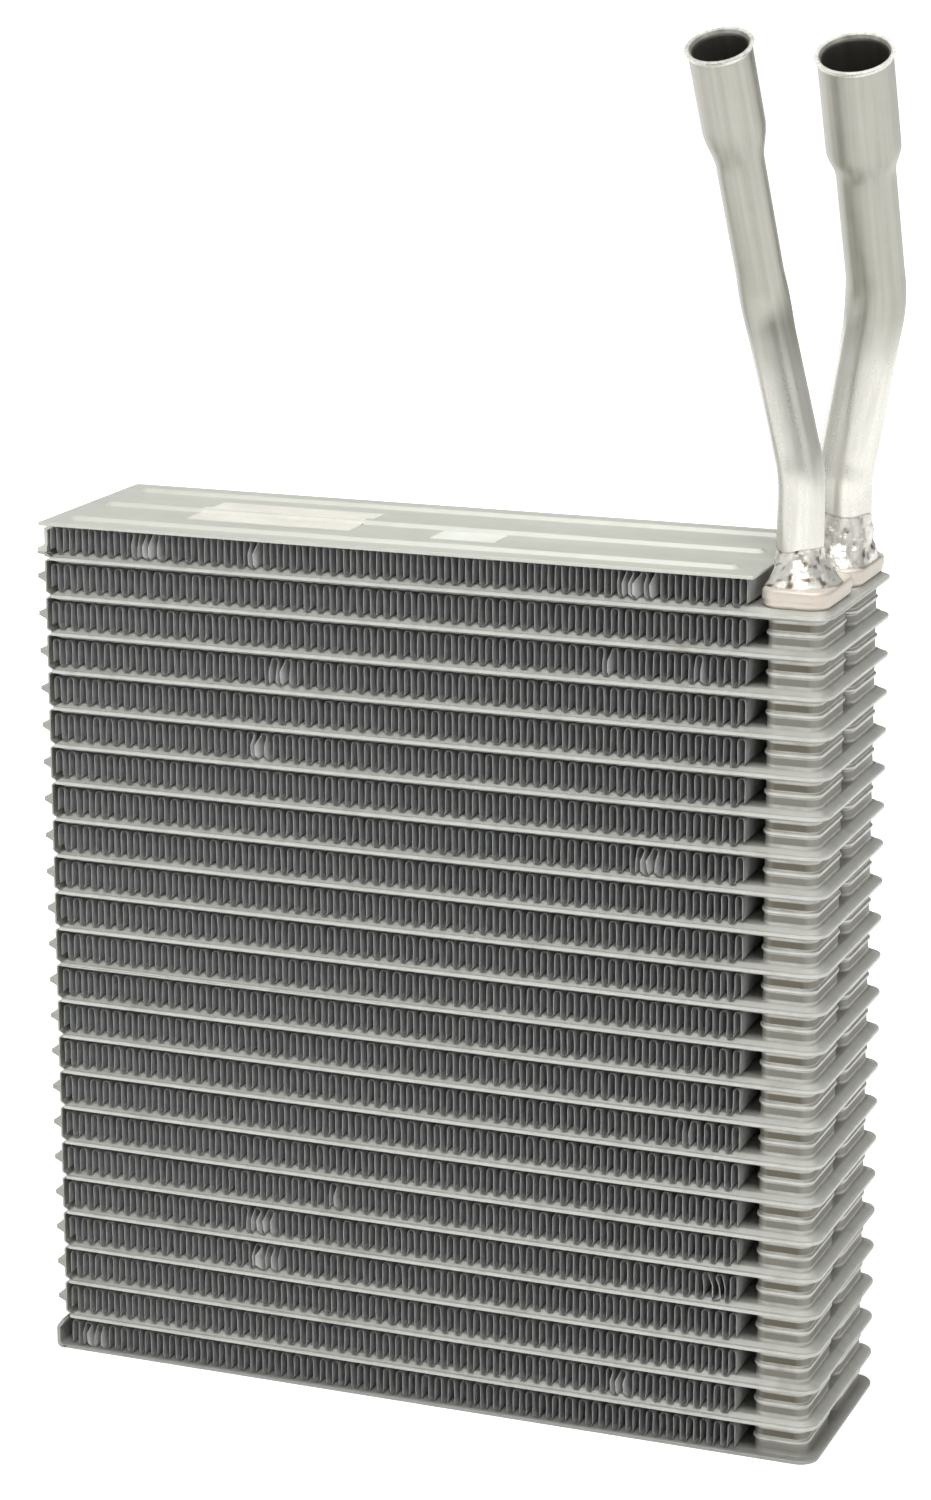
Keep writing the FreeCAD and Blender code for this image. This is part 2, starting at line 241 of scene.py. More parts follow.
class Shell:
    """Points and faces of one piece, gathered in millimetres."""

    def __init__(self) -> None:
        """Starts an empty shell."""
        self.points: list[Vector] = []
        self.faces: list[tuple[int, ...]] = []
        self.painted_light_and_wear: list[PaintedLightAndWear] = []

    def loop(self, points: list[Vector], painted_light_and_wear: PaintedLightAndWear = BARE) -> list[int]:
        """Adds a row of points.

        Args:
            points: The points, in order.
            painted_light_and_wear: The painted light and the wear there.

        Returns:
            Their numbers.
        """
        start = len(self.points)
        self.points += points
        self.painted_light_and_wear += [painted_light_and_wear] * len(points)
        return list(range(start, len(self.points)))

    def ring(
        self, outline: Outline, inset: float, height: float, painted_light_and_wear: PaintedLightAndWear = BARE, highlight_and_rubbing: float = 0.0
    ) -> list[int]:
        """Adds an outline at one height.

        Args:
            outline: The outline that the ring follows.
            inset: Distance inwards from it.
            height: Height of the ring.
            painted_light_and_wear: The painted light and the wear there.
            highlight_and_rubbing: How much painted highlight brightens its rounded corners.
            highlight_and_rubbing: How much brighter its rounded corners are rubbed.

        Returns:
            The numbers of the ring's points.
        """
        numbers: list[int] = []
        for number, (x, y) in enumerate(outline.points(inset)):
            # Rounded corners get a painted highlight and lose some of the painted shade.
            bend = math.sin(math.pi * (number % (CORNER_STEPS + 1)) / CORNER_STEPS) * highlight_and_rubbing
            here = PaintedLightAndWear(max(painted_light_and_wear.highlight_and_polish, bend), painted_light_and_wear.darkening * (1.0 - bend))
            numbers += self.loop([Vector((x, y, height))], here)
        return numbers

    def rings(
        self, outline: Outline, profile: Profile, painted_light_and_wear: PaintedLightAndWear = BARE, highlight_and_rubbing: float = 0.0
    ) -> list[list[int]]:
        """Adds rings after a profile and joins each to the next.

        Args:
            outline: The outline that the rings follow.
            profile: Inset and height of each ring.
            painted_light_and_wear: The painted light and the wear there.
            highlight_and_rubbing: How much painted highlight brightens their rounded corners.

        Returns:
            The rings.
        """
        made = [self.ring(outline, inset, height, painted_light_and_wear, highlight_and_rubbing) for inset, height in profile]
        for first, second in zip(made, made[1:]):
            self.bridge(first, second)
        return made

    def bridge(self, first: list[int], second: list[int]) -> None:
        """Joins two closed loops of as many points with a band of faces."""
        count = len(first)
        for here in range(count):
            there = (here + 1) % count
            self.faces.append((first[here], first[there], second[there], second[here]))

    def fill(self, outer: list[int], holes: Sequence[list[int]] = ()) -> None:
        """Closes a flat loop, leaving holes open.

        Args:
            outer: The loop's points.
            holes: The loops of the holes.
        """
        loops = [outer, *holes]
        order = [number for loop in loops for number in loop]
        flat = [[self.points[number] for number in loop] for loop in loops]
        for triangle in tessellate_polygon(flat):
            self.faces.append(tuple(order[corner] for corner in triangle))

    def section(self, outline: Profile, y0: float, y1: float, painted_light_and_wear: PaintedLightAndWear = BARE) -> None:
        """Adds a closed strip along Y.

        Args:
            outline: Closed section in X and Z.
            y0: Where the strip starts.
            y1: Where it ends.
            painted_light_and_wear: The painted light and the wear there.
        """
        front = self.loop([Vector((x, y0, z)) for x, z in outline], painted_light_and_wear)
        back = self.loop([Vector((x, y1, z)) for x, z in outline], painted_light_and_wear)
        self.bridge(front, back)
        self.fill(front)
        self.fill(back)

    def add(self, other: "Shell", place: Matrix) -> None:
        """Adds another shell's points and faces.

        Args:
            other: The shell to add.
            place: Where it goes.
        """
        start = len(self.points)
        self.points += [place @ point for point in other.points]
        self.painted_light_and_wear += other.painted_light_and_wear
        self.faces += [tuple(number + start for number in face) for face in other.faces]

    def build(self, name: str, smooth: float = SMOOTH_ANGLE) -> bpy.types.Object:
        """Makes the piece.

        Args:
            name: Name of the new object.
            smooth: Largest angle between two faces that is shaded smooth.

        Returns:
            The object, at the origin, with its place in its mesh.
        """
        mesh = bpy.data.meshes.new(name)
        mesh.from_pydata([point * MM for point in self.points], [], self.faces)
        for label, values in zip((HIGHLIGHT_AND_POLISH, SHADE_AND_STAIN), zip(*self.painted_light_and_wear)):
            mesh.attributes.new(label, "FLOAT", "POINT").data.foreach_set("value", values)
        shape = bmesh.new()
        shape.from_mesh(mesh)
        bmesh.ops.remove_doubles(shape, verts=shape.verts, dist=MERGE_DISTANCE)
        bmesh.ops.dissolve_degenerate(shape, edges=shape.edges, dist=LEAST_EDGE)
        bmesh.ops.recalc_face_normals(shape, faces=shape.faces)
        shape.to_mesh(mesh)
        shape.free()
        mesh.shade_smooth()
        mesh.set_sharp_from_angle(angle=smooth)
        return place_object(name, mesh)


class Wiring:
    """Places nodes in one tree and joins them."""

    def __init__(self, tree: bpy.types.NodeTree) -> None:
        """Takes the tree to work in."""
        self.tree = tree

    def put(self, socket: bpy.types.NodeSocket, value: object) -> None:
        """Sets a socket to a constant, or joins it to another socket."""
        if isinstance(value, bpy.types.NodeSocket):
            self.tree.links.new(value, socket)
        else:
            socket.default_value = value

    def add(self, kind: str, inputs: dict | None = None, **settings: object) -> bpy.types.Node:
        """Adds a node.

        Args:
            kind: The node's type.
            inputs: Values or sockets for its inputs, by name or number.
            settings: Its other settings, by name.

        Returns:
            The node.
        """
        node = self.tree.nodes.new(kind)
        for key, value in settings.items():
            setattr(node, key, value)
        for key, value in (inputs or {}).items():
            self.put(node.inputs[key], value)
        return node

    def math(self, operation: str, *values: object) -> bpy.types.NodeSocket:
        """Adds a Math node.

        Args:
            operation: What it works out.
            values: Its values or sockets, in order.

        Returns:
            Its output.
        """
        return self.add("ShaderNodeMath", dict(enumerate(values)), operation=operation).outputs[0]

    def scaled(self, vector: object, scale: object) -> bpy.types.NodeSocket:
        """Multiplies a vector, part by part."""
        node = self.add("ShaderNodeVectorMath", {0: vector, 1: scale}, operation="MULTIPLY")
        return node.outputs[0]

    def noise(self, vector: object, scale: object, detail: float = 2.0) -> bpy.types.NodeSocket:
        """Gives soft noise from 0 to 1."""
        node = self.add("ShaderNodeTexNoise", {"Vector": vector, "Scale": scale, "Detail": detail})
        return node.outputs[0]

    def ranged(self, value: object, ends: tuple[float, float], to: tuple) -> bpy.types.NodeSocket:
        """Carries a value from one range to another.

        Args:
            value: The value's socket.
            ends: The range that it has.
            to: The range that it gets, as numbers or sockets.

        Returns:
            The new value.
        """
        limits: dict[str, object] = {"Value": value, "From Min": ends[0], "From Max": ends[1]}
        limits |= {"To Min": to[0], "To Max": to[1]}
        return self.add("ShaderNodeMapRange", limits).outputs[0]

    def limited(self, value: object) -> bpy.types.NodeSocket:
        """Keeps a value between 0 and 1."""
        return self.math("MINIMUM", self.math("MAXIMUM", value, 0.0), 1.0)

    def weighed(self, first: object, share: float, second: object) -> bpy.types.NodeSocket:
        """Adds a share of the first value to the rest of the second."""
        rest = self.math("MULTIPLY", second, 1.0 - share)
        return self.math("MULTIPLY_ADD", first, share, rest)

    def stored(self, name: str) -> bpy.types.NodeOutputs:
        """Gives the outputs of a value that is stored at each point of the mesh."""
        return self.add("ShaderNodeAttribute", attribute_name=name).outputs

    def group(self, tree: bpy.types.NodeTree, inputs: dict) -> bpy.types.NodeOutputs:
        """Places a shared group with its own values and gives its outputs."""
        return self.add("ShaderNodeGroup", inputs, node_tree=tree).outputs

    def blend(self, share: object, first: object, second: object) -> bpy.types.NodeSocket:
        """Mixes two colours by a share."""
        node = self.add("ShaderNodeMix", {0: share, 6: first, 7: second}, data_type="RGBA")
        return node.outputs[2]


def empty_wiring(block: bpy.types.Material | bpy.types.World) -> Wiring:
    """Clears a material's or a world's nodes and gives its wiring."""
    block.use_nodes = True
    block.node_tree.nodes.clear()
    return Wiring(block.node_tree)


def shader_group(name: str, inputs: dict[str, str], outputs: dict[str, str]) -> tuple:
    """Starts a shader node group.

    Args:
        name: Name of the group.
        inputs: Type of each input, by name.
        outputs: Type of each output, by name.

    Returns:
        The group's wiring, its input node and its output node.
    """
    tree = bpy.data.node_groups.new(name, "ShaderNodeTree")
    for label, kind in inputs.items():
        tree.interface.new_socket(label, in_out="INPUT", socket_type="NodeSocket" + kind)
    for label, kind in outputs.items():
        tree.interface.new_socket(label, in_out="OUTPUT", socket_type="NodeSocket" + kind)
    wiring = Wiring(tree)
    return wiring, wiring.add("NodeGroupInput"), wiring.add("NodeGroupOutput")


class SharedEffects:
    """Shader groups that more than one finish uses, each built once."""

    def __init__(self) -> None:
        """Builds the groups."""
        self.grain = self._grain()
        self.lines = self._lines()
        self.blotches = self._blotches()
        self.highlight_and_rubbing = self._highlight_and_rubbing()

    @staticmethod
    def _grain() -> bpy.types.NodeTree:
        """Fine grain of bare metal: an uneven tone, and a height for the bump."""
        wiring, start, end = shader_group(
            "metal_grain",
            {"Vector": "Vector", "Scale": "Float"},
            {"Tone": "Float", "Height": "Float"},
        )
        vector, scale = start.outputs["Vector"], start.outputs["Scale"]
        broad_scale = 0.11
        fine = wiring.noise(vector, scale, 4.0)
        broad = wiring.noise(vector, wiring.math("MULTIPLY", scale, broad_scale), 3.0)
        wiring.put(end.inputs["Tone"], wiring.weighed(fine, 0.35, broad))
        wiring.put(end.inputs["Height"], fine)
        return wiring.tree

    @staticmethod
    def _lines() -> bpy.types.NodeTree:
        """Lines that rolling or drawing leaves, long in one direction."""
        wiring, start, end = shader_group(
            "drawn_lines",
            {"Vector": "Vector", "Stretch": "Vector", "Contrast": "Float"},
            {"Mask": "Float"},
        )
        stretched = wiring.scaled(start.outputs["Vector"], start.outputs["Stretch"])
        lines = wiring.math("SUBTRACT", wiring.noise(stretched, 1.0, 5.0), 0.5)
        sharper = wiring.math("MULTIPLY_ADD", lines, start.outputs["Contrast"], 0.5)
        wiring.put(end.inputs["Mask"], wiring.limited(sharper))
        return wiring.tree

    @staticmethod
    def _blotches() -> bpy.types.NodeTree:
        """Soft patches that brazing heat and flux leave."""
        wiring, start, end = shader_group(
            "heat_blotches",
            {"Vector": "Vector", "Scale": "Float", "Threshold": "Float"},
            {"Mask": "Float"},
        )
        steepness = 5.0
        patches = wiring.noise(start.outputs["Vector"], start.outputs["Scale"], 3.0)
        above = wiring.math("SUBTRACT", patches, start.outputs["Threshold"])
        wiring.put(end.inputs["Mask"], wiring.limited(wiring.math("MULTIPLY", above, steepness)))
        return wiring.tree

    @staticmethod
    def _highlight_and_rubbing() -> bpy.types.NodeTree:
        """Painted highlights and edges rubbed bright, broken up by noise."""
        wiring, start, end = shader_group(
            "highlight_and_rubbed_edges",
            {"Vector": "Vector", "Edge": "Float", "Scale": "Float"},
            {"Mask": "Float"},
        )
        least = 0.45
        broken = wiring.noise(start.outputs["Vector"], start.outputs["Scale"], 3.0)
        uneven = wiring.ranged(broken, (0.3, 0.6), (least, 1.0))
        wiring.put(end.inputs["Mask"], wiring.math("MULTIPLY", start.outputs["Edge"], uneven))
        return wiring.tree


@dataclass(frozen=True)
class MetalFinish:
    """Bare aluminium, with its grain, drawn lines, heat blotches, rubbed edges, painted highlights and
    painted shade.
    """

    name: str
    slot: str
    light: Colour
    dark: Colour
    # The blotch colour is also that of painted shade, the bright one that of painted highlights and
    # rubbed edges.
    blotch_and_shade: Colour
    bright: Colour
    roughness: tuple[float, float] = (0.36, 0.52)
    grain_scale: float = 1500.0
    stretch: tuple[float, float, float] = (30.0, 500.0, 500.0)
    line_contrast: float = 1.6
    blotch_scale: float = 60.0
    blotch_threshold: float = 0.56
    edge_scale: float = 220.0
    edge_stretch: tuple[float, float, float] = (1.0, 1.0, 1.0)
    bump: float = 0.25
    bump_height: float = 0.00008
    metallic: float = 0.8
    pattern: Pattern = Pattern.PLACE
    tone_range: tuple[float, float] = (0.25, 0.75)
    line_share: float = 0.5
    blotch_depth: float = 0.6
    highlight_and_rubbed_gloss: float = 0.12
    line_height: float = 0.6

    def material(self, effects: SharedEffects) -> bpy.types.Material:
        """Builds the finish's material.

        Args:
            effects: The shared shader groups.

        Returns:
            The material.
        """
        material = bpy.data.materials.new(self.name)
        wiring = empty_wiring(material)
        if self.pattern is Pattern.FLOW:
            vector = wiring.stored(FLOW)["Vector"]
        else:
            vector = wiring.add("ShaderNodeTexCoord").outputs["Object"]
        grain = wiring.group(effects.grain, {"Vector": vector, "Scale": self.grain_scale})
        settings = {"Vector": vector, "Stretch": self.stretch, "Contrast": self.line_contrast}
        lines = wiring.group(effects.lines, settings)["Mask"]
        settings = {"Vector": vector, "Scale": self.blotch_scale, "Threshold": self.blotch_threshold}
        blotches = wiring.group(effects.blotches, settings)["Mask"]
        settings = {"Vector": wiring.scaled(vector, self.edge_stretch), "Scale": self.edge_scale}
        settings["Edge"] = wiring.stored(HIGHLIGHT_AND_POLISH)["Fac"]
        highlight_and_rubbing = wiring.group(effects.highlight_and_rubbing, settings)["Mask"]

        tone = wiring.weighed(lines, self.line_share, grain["Tone"])
        metal = wiring.blend(tone, self.dark, self.light)
        patches = wiring.math("MULTIPLY", blotches, self.blotch_depth)
        # Painted shade and stains pull towards the blotch colour, painted highlights and rubbing
        # towards the bright one.
        blotched_and_shaded = wiring.math("MAXIMUM", patches, wiring.stored(SHADE_AND_STAIN)["Fac"])
        heated_and_shaded = wiring.blend(blotched_and_shaded, metal, self.blotch_and_shade)
        colour = wiring.blend(highlight_and_rubbing, heated_and_shaded, self.bright)
        matt = wiring.ranged(tone, self.tone_range, self.roughness)
        shine = wiring.math("MULTIPLY_ADD", highlight_and_rubbing, -self.highlight_and_rubbed_gloss, matt)
        height = wiring.math("MULTIPLY_ADD", lines, self.line_height, grain["Height"])
        settings = {"Strength": self.bump, "Distance": self.bump_height, "Height": height}
        normal = wiring.add("ShaderNodeBump", settings).outputs[0]
        settings = {"Base Color": colour, "Roughness": shine, "Metallic": self.metallic}
        surface = wiring.add("ShaderNodeBsdfPrincipled", settings | {"Normal": normal})
        wiring.add("ShaderNodeOutputMaterial", {"Surface": surface.outputs[0]})
        return material


@dataclass(frozen=True)
class PaperFinish:
    """Bare label paper, with its fibres and a few soft stains."""

    name: str
    slot: str
    light: Colour
    dark: Colour
    roughness: tuple[float, float] = (0.55, 0.8)
    tone_range: tuple[float, float] = (0.3, 0.6)
    fibre_scale: float = 900.0
    fibre_share: float = 0.6
    stain_scale: float = 90.0
    bump: float = 0.15
    bump_height: float = 0.00005

    def material(self, effects: SharedEffects) -> bpy.types.Material:
        """Builds the finish's material.

        Args:
            effects: The shared shader groups.

        Returns:
            The material.
        """
        material = bpy.data.materials.new(self.name)
        wiring = empty_wiring(material)
        vector = wiring.add("ShaderNodeTexCoord").outputs["Object"]
        grain = wiring.group(effects.grain, {"Vector": vector, "Scale": self.fibre_scale})
        darkening = wiring.noise(vector, self.stain_scale, 3.0)
        tone = wiring.weighed(grain["Tone"], self.fibre_share, darkening)
        share = wiring.ranged(tone, self.tone_range, (0.0, 1.0))
        colour = wiring.blend(share, self.dark, self.light)
        shine = wiring.ranged(tone, NOISE_RANGE, self.roughness)
        settings = {"Strength": self.bump, "Distance": self.bump_height, "Height": grain["Height"]}
        normal = wiring.add("ShaderNodeBump", settings).outputs[0]
        settings = {"Base Color": colour, "Roughness": shine, "Normal": normal}
        surface = wiring.add("ShaderNodeBsdfPrincipled", settings)
        wiring.add("ShaderNodeOutputMaterial", {"Surface": surface.outputs[0]})
        return material


TUBE_FINISH = MetalFinish(
    name="tube_plate_metal",
    slot="tube_aluminium",
    light=(0.58, 0.58, 0.54, 1.0),
    dark=(0.43, 0.43, 0.40, 1.0),
    # Its dark blotch colour is also the painted shade on the cups' walls between the flanges.
    blotch_and_shade=(0.15, 0.135, 0.10, 1.0),
    bright=(0.77, 0.77, 0.72, 1.0),
    roughness=(0.42, 0.58),
    blotch_threshold=0.60,
    metallic=0.35,
)
TOP_PLATE_FINISH = MetalFinish(
    name="top_plate_metal",
    slot="end_plate_aluminium",
    light=(0.66, 0.67, 0.60, 1.0),
    dark=(0.54, 0.55, 0.49, 1.0),
    blotch_and_shade=(0.56, 0.56, 0.48, 1.0),
    bright=(0.68, 0.68, 0.63, 1.0),
    roughness=(0.44, 0.60),
    metallic=0.35,
)
# A darker copy of the top plate's metal, as painted shade on the bottom plate.
SHADED_BOTTOM_PLATE_FINISH = replace(
    TOP_PLATE_FINISH,
    name="shaded_bottom_plate_metal",
    light=(0.38, 0.38, 0.36, 1.0),
    dark=(0.29, 0.29, 0.27, 1.0),
    blotch_and_shade=(0.27, 0.24, 0.20, 1.0),
    bright=(0.56, 0.56, 0.53, 1.0),
)
FIN_FINISH = MetalFinish(
    name="fin_foil_metal",
    slot="fin_aluminium",
    light=(0.58, 0.59, 0.58, 1.0),
    dark=(0.41, 0.42, 0.42, 1.0),
    # Its dark blotch colour is also the painted shade, with flux stain, in the folds.
    blotch_and_shade=(0.10, 0.10, 0.09, 1.0),
    bright=(0.76, 0.76, 0.75, 1.0),
    roughness=(0.46, 0.64),
    stretch=(420.0, 1400.0, 60.0),
    line_contrast=2.4,
    blotch_threshold=0.72,
    bump=0.5,
    metallic=0.2,
)
CAP_FINISH = MetalFinish(
    name="cap_metal",
    slot="cap_aluminium",
    light=(0.76, 0.69, 0.59, 1.0),
    dark=(0.62, 0.55, 0.46, 1.0),
    blotch_and_shade=(0.72, 0.57, 0.48, 1.0),
    bright=(0.86, 0.84, 0.79, 1.0),
    roughness=(0.42, 0.58),
    blotch_scale=140.0,
    metallic=0.35,
)
PIPE_FINISH = MetalFinish(
    name="pipe_metal",
    slot="pipe_aluminium",
    light=(0.50, 0.49, 0.44, 1.0),
    dark=(0.31, 0.305, 0.26, 1.0),
    # Its dark blotch colour is also the painted shade in the bore.
    blotch_and_shade=(0.10, 0.095, 0.085, 1.0),
    bright=(0.76, 0.75, 0.69, 1.0),
    roughness=(0.30, 0.46),
    stretch=(520.0, 520.0, 14.0),
    line_contrast=3.0,
    edge_scale=130.0,
    edge_stretch=(1.0, 1.0, 0.16),
    blotch_scale=55.0,
    blotch_threshold=0.68,
    metallic=0.6,
    pattern=Pattern.FLOW,
)
BRAZE_FINISH = MetalFinish(
    name="braze_metal",
    slot="cap_aluminium",
    light=(0.88, 0.87, 0.82, 1.0),
    dark=(0.56, 0.54, 0.48, 1.0),
    blotch_and_shade=(0.12, 0.08, 0.05, 1.0),
    bright=(0.86, 0.85, 0.82, 1.0),
    roughness=(0.24, 0.40),
    grain_scale=500.0,
    stretch=(240.0, 240.0, 240.0),
    line_contrast=3.0,
    blotch_scale=430.0,
    blotch_threshold=0.60,
    bump=0.5,
    bump_height=0.0005,
    metallic=0.5,
)
LABEL_FINISH = PaperFinish(
    name="bare_label_paper",
    slot="label_paper",
    light=(0.73, 0.715, 0.64, 1.0),
    dark=(0.61, 0.60, 0.53, 1.0),
)
STICKER_FINISH = PaperFinish(
    name="bare_sticker_paper",
    slot="label_paper",
    light=(0.76, 0.78, 0.72, 1.0),
    dark=(0.64, 0.66, 0.60, 1.0),
)


class Workshop:
    """Keeps the shared effects and finishes, and fixes each finished piece to the frame."""

    def __init__(self) -> None:
        """Builds the shared effects."""
        self.effects = SharedEffects()
        self.materials: dict[str, bpy.types.Material] = {}

    def material(self, finish: MetalFinish | PaperFinish) -> bpy.types.Material:
        """Gives a finish's material, built once."""
        if finish.name not in self.materials:
            self.materials[finish.name] = finish.material(self.effects)
        return self.materials[finish.name]

    def dress(self, piece: bpy.types.Object, finish: MetalFinish | PaperFinish, *nodes: str) -> None:
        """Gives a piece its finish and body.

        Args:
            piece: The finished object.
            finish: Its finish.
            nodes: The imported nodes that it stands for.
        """
        piece.data.materials.clear()
        piece.data.materials.append(self.material(finish))
        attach(piece, BODY)
        if nodes:
            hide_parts(*nodes)
        log.info("%s: %d faces, for %s", piece.name, len(piece.data.polygons), nodes or "no node")


@dataclass
class Stamping:
    """Sizes that the tube plates, the end plates and the caps share."""

    sheet: float = 0.5
    tube_half: float = 1.6
    flange: float = 2.4
    plate_corner: float = 5.5

    # The folded tab at the end away from the tank. Its shares hold where the tab is short.
    tab_reach: float = 2.4
    tab_curl: float = 0.6
    tab_lean: float = 1.1
    tab_root: float = 1.0
    tab_round: float = 0.3
    tab_margin: float = 1.5
    tab_seam: float = 0.8
    # How much darker the tubes' tabs are made.
    tab_darkening: float = 0.3
    short_tab: float = 1.6
    notch: float = 1.7
    notch_rise: float = 0.95
    lean_share: float = 0.4
    rise_share: float = 0.3
    curl_share: float = 0.6

    # The drawn cups, two to a plate, which stack into the front and the rear tank.
    cup_length: float = 15.4
    cup_setback: float = 0.8
    cup_corner: float = 3.5
    cup_draft: float = 0.12
    cup_foot: float = 0.3
    cup_foot_round: float = 0.24
    tank_gap: float = 6.0
    port_rim: float = 2.4
    root_height: float = 0.75
    root_draft: float = 0.3
    root_blend: float = 0.3
    # Painted highlights on the cups' feet and rounded corners.
    foot_highlight: float = 0.5
    corner_highlight: float = 0.12

    # The bead of filler metal round a cup's rim, which gets a painted highlight.
    joint_proud: float = 0.42
    joint_height: float = 0.80
    joint_crest: float = 0.4
    joint_round: float = 0.35
    joint_highlight: float = 0.7

    def front_cup(self, low: Vector, high: Vector) -> Outline:
        """Gives the outline of the front tank's cup inside a plate's box.

        Args:
            low: The plate's lowest corner.
            high: Its highest corner.

        Returns:
            The cup's outline.
        """
        x1 = high.x - self.flange - self.cup_setback
        y0 = low.y + self.flange + self.cup_setback
        return Outline(x1 - self.cup_length, x1, y0, -self.tank_gap / 2, (self.cup_corner,) * 4)

    def cup_wall(
        self, shell: Shell, outline: Outline, foot: float, top: float, beaded: bool, darkening: float
    ) -> tuple:
        """Adds a drawn cup's outer wall, with the bead of filler metal round its rim.

        Args:
            shell: The shell that gets it.
            outline: The cup's outline.
            foot: Height that the cup rises from.
            top: Height of its rim.
            beaded: Whether filler metal shows at the rim.
            darkening: How much painted shade darkens the wall.

        Returns:
            The ring at the foot and the ring at the rim.
        """
        neck = top - self.joint_height
        slant = self.cup_draft * self.root_draft
        root_top = foot + self.root_height
        rise = [
            (-self.cup_foot, foot, 0.0),
            (0.0, foot, self.cup_foot_round),
            (slant, root_top, 0.0),
        ]
        # The foot gets a painted highlight and half the wall's painted shade.
        bright = PaintedLightAndWear(highlight_and_polish=self.foot_highlight, darkening=darkening / 2)
        root = shell.rings(outline, rounded_path(rise), bright)
        side = [(slant, root_top + self.root_blend), (self.cup_draft, neck - self.root_blend)]
        # The wall gets painted shade, and painted highlights on its rounded corners.
        wall = shell.rings(outline, side, PaintedLightAndWear(darkening=darkening), self.corner_highlight)
        shell.bridge(root[-1], wall[0])
        proud = -self.joint_proud if beaded else self.cup_draft
        bead = [
            (self.cup_draft, neck, 0.0),
            (proud, top - self.joint_height * self.joint_crest, self.joint_round if beaded else 0.0),
            (proud, top, 0.0),
        ]
        # The bead gets a painted highlight.
        joint = shell.rings(outline, rounded_path(bead), PaintedLightAndWear(highlight_and_polish=self.joint_highlight))
        shell.bridge(wall[-1], joint[0])
        return root[0], joint[-1]

    def tab(
        self,
        shell: Shell,
        box: tuple[Vector, Vector],
        root: float,
        height: float,
        sheet: float,
        darkening: float,
    ) -> None:
        """Adds the folded tab that closes the end away from the tank.

        Args:
            shell: The shell that gets it.
            box: The plate's lowest and highest corner.
            root: Height of the tab's root.
            height: How far its lip's end is above the root, negative for a tab that hangs down.
            sheet: Thickness of the tab.
            darkening: How much darker it is made.
        """
        low, high = box
        up = math.copysign(1.0, height)
        wall = low.x + self.tab_reach
        lip = abs(height) - sheet
        lean = min(self.tab_lean, lip * self.lean_share)
        rise = min(self.notch_rise, lip * self.rise_share)
        bend = min((lip - lean - rise) * self.curl_share, self.tab_curl)
        corners = [
            (wall + self.notch + self.tab_root, 0.0, 0.0),
            (wall + self.notch, 0.0, self.tab_round),
            (wall, rise, bend),
            (wall, lip - lean, bend),
            (low.x, lip, 0.0),
        ]
        path = rounded_path(corners)
        inner = thickened(path, sheet)[len(path):]
        seam_x = wall + sheet * self.tab_seam
        seam = [(x, abs(height)) if x < seam_x else (x, z) for x, z in inner]
        section = [(x, root + up * z) for x, z in path + seam]
        front, back = low.y + self.tab_margin, high.y - self.tab_margin
        shell.section(section, front, back, PaintedLightAndWear(darkening=darkening))


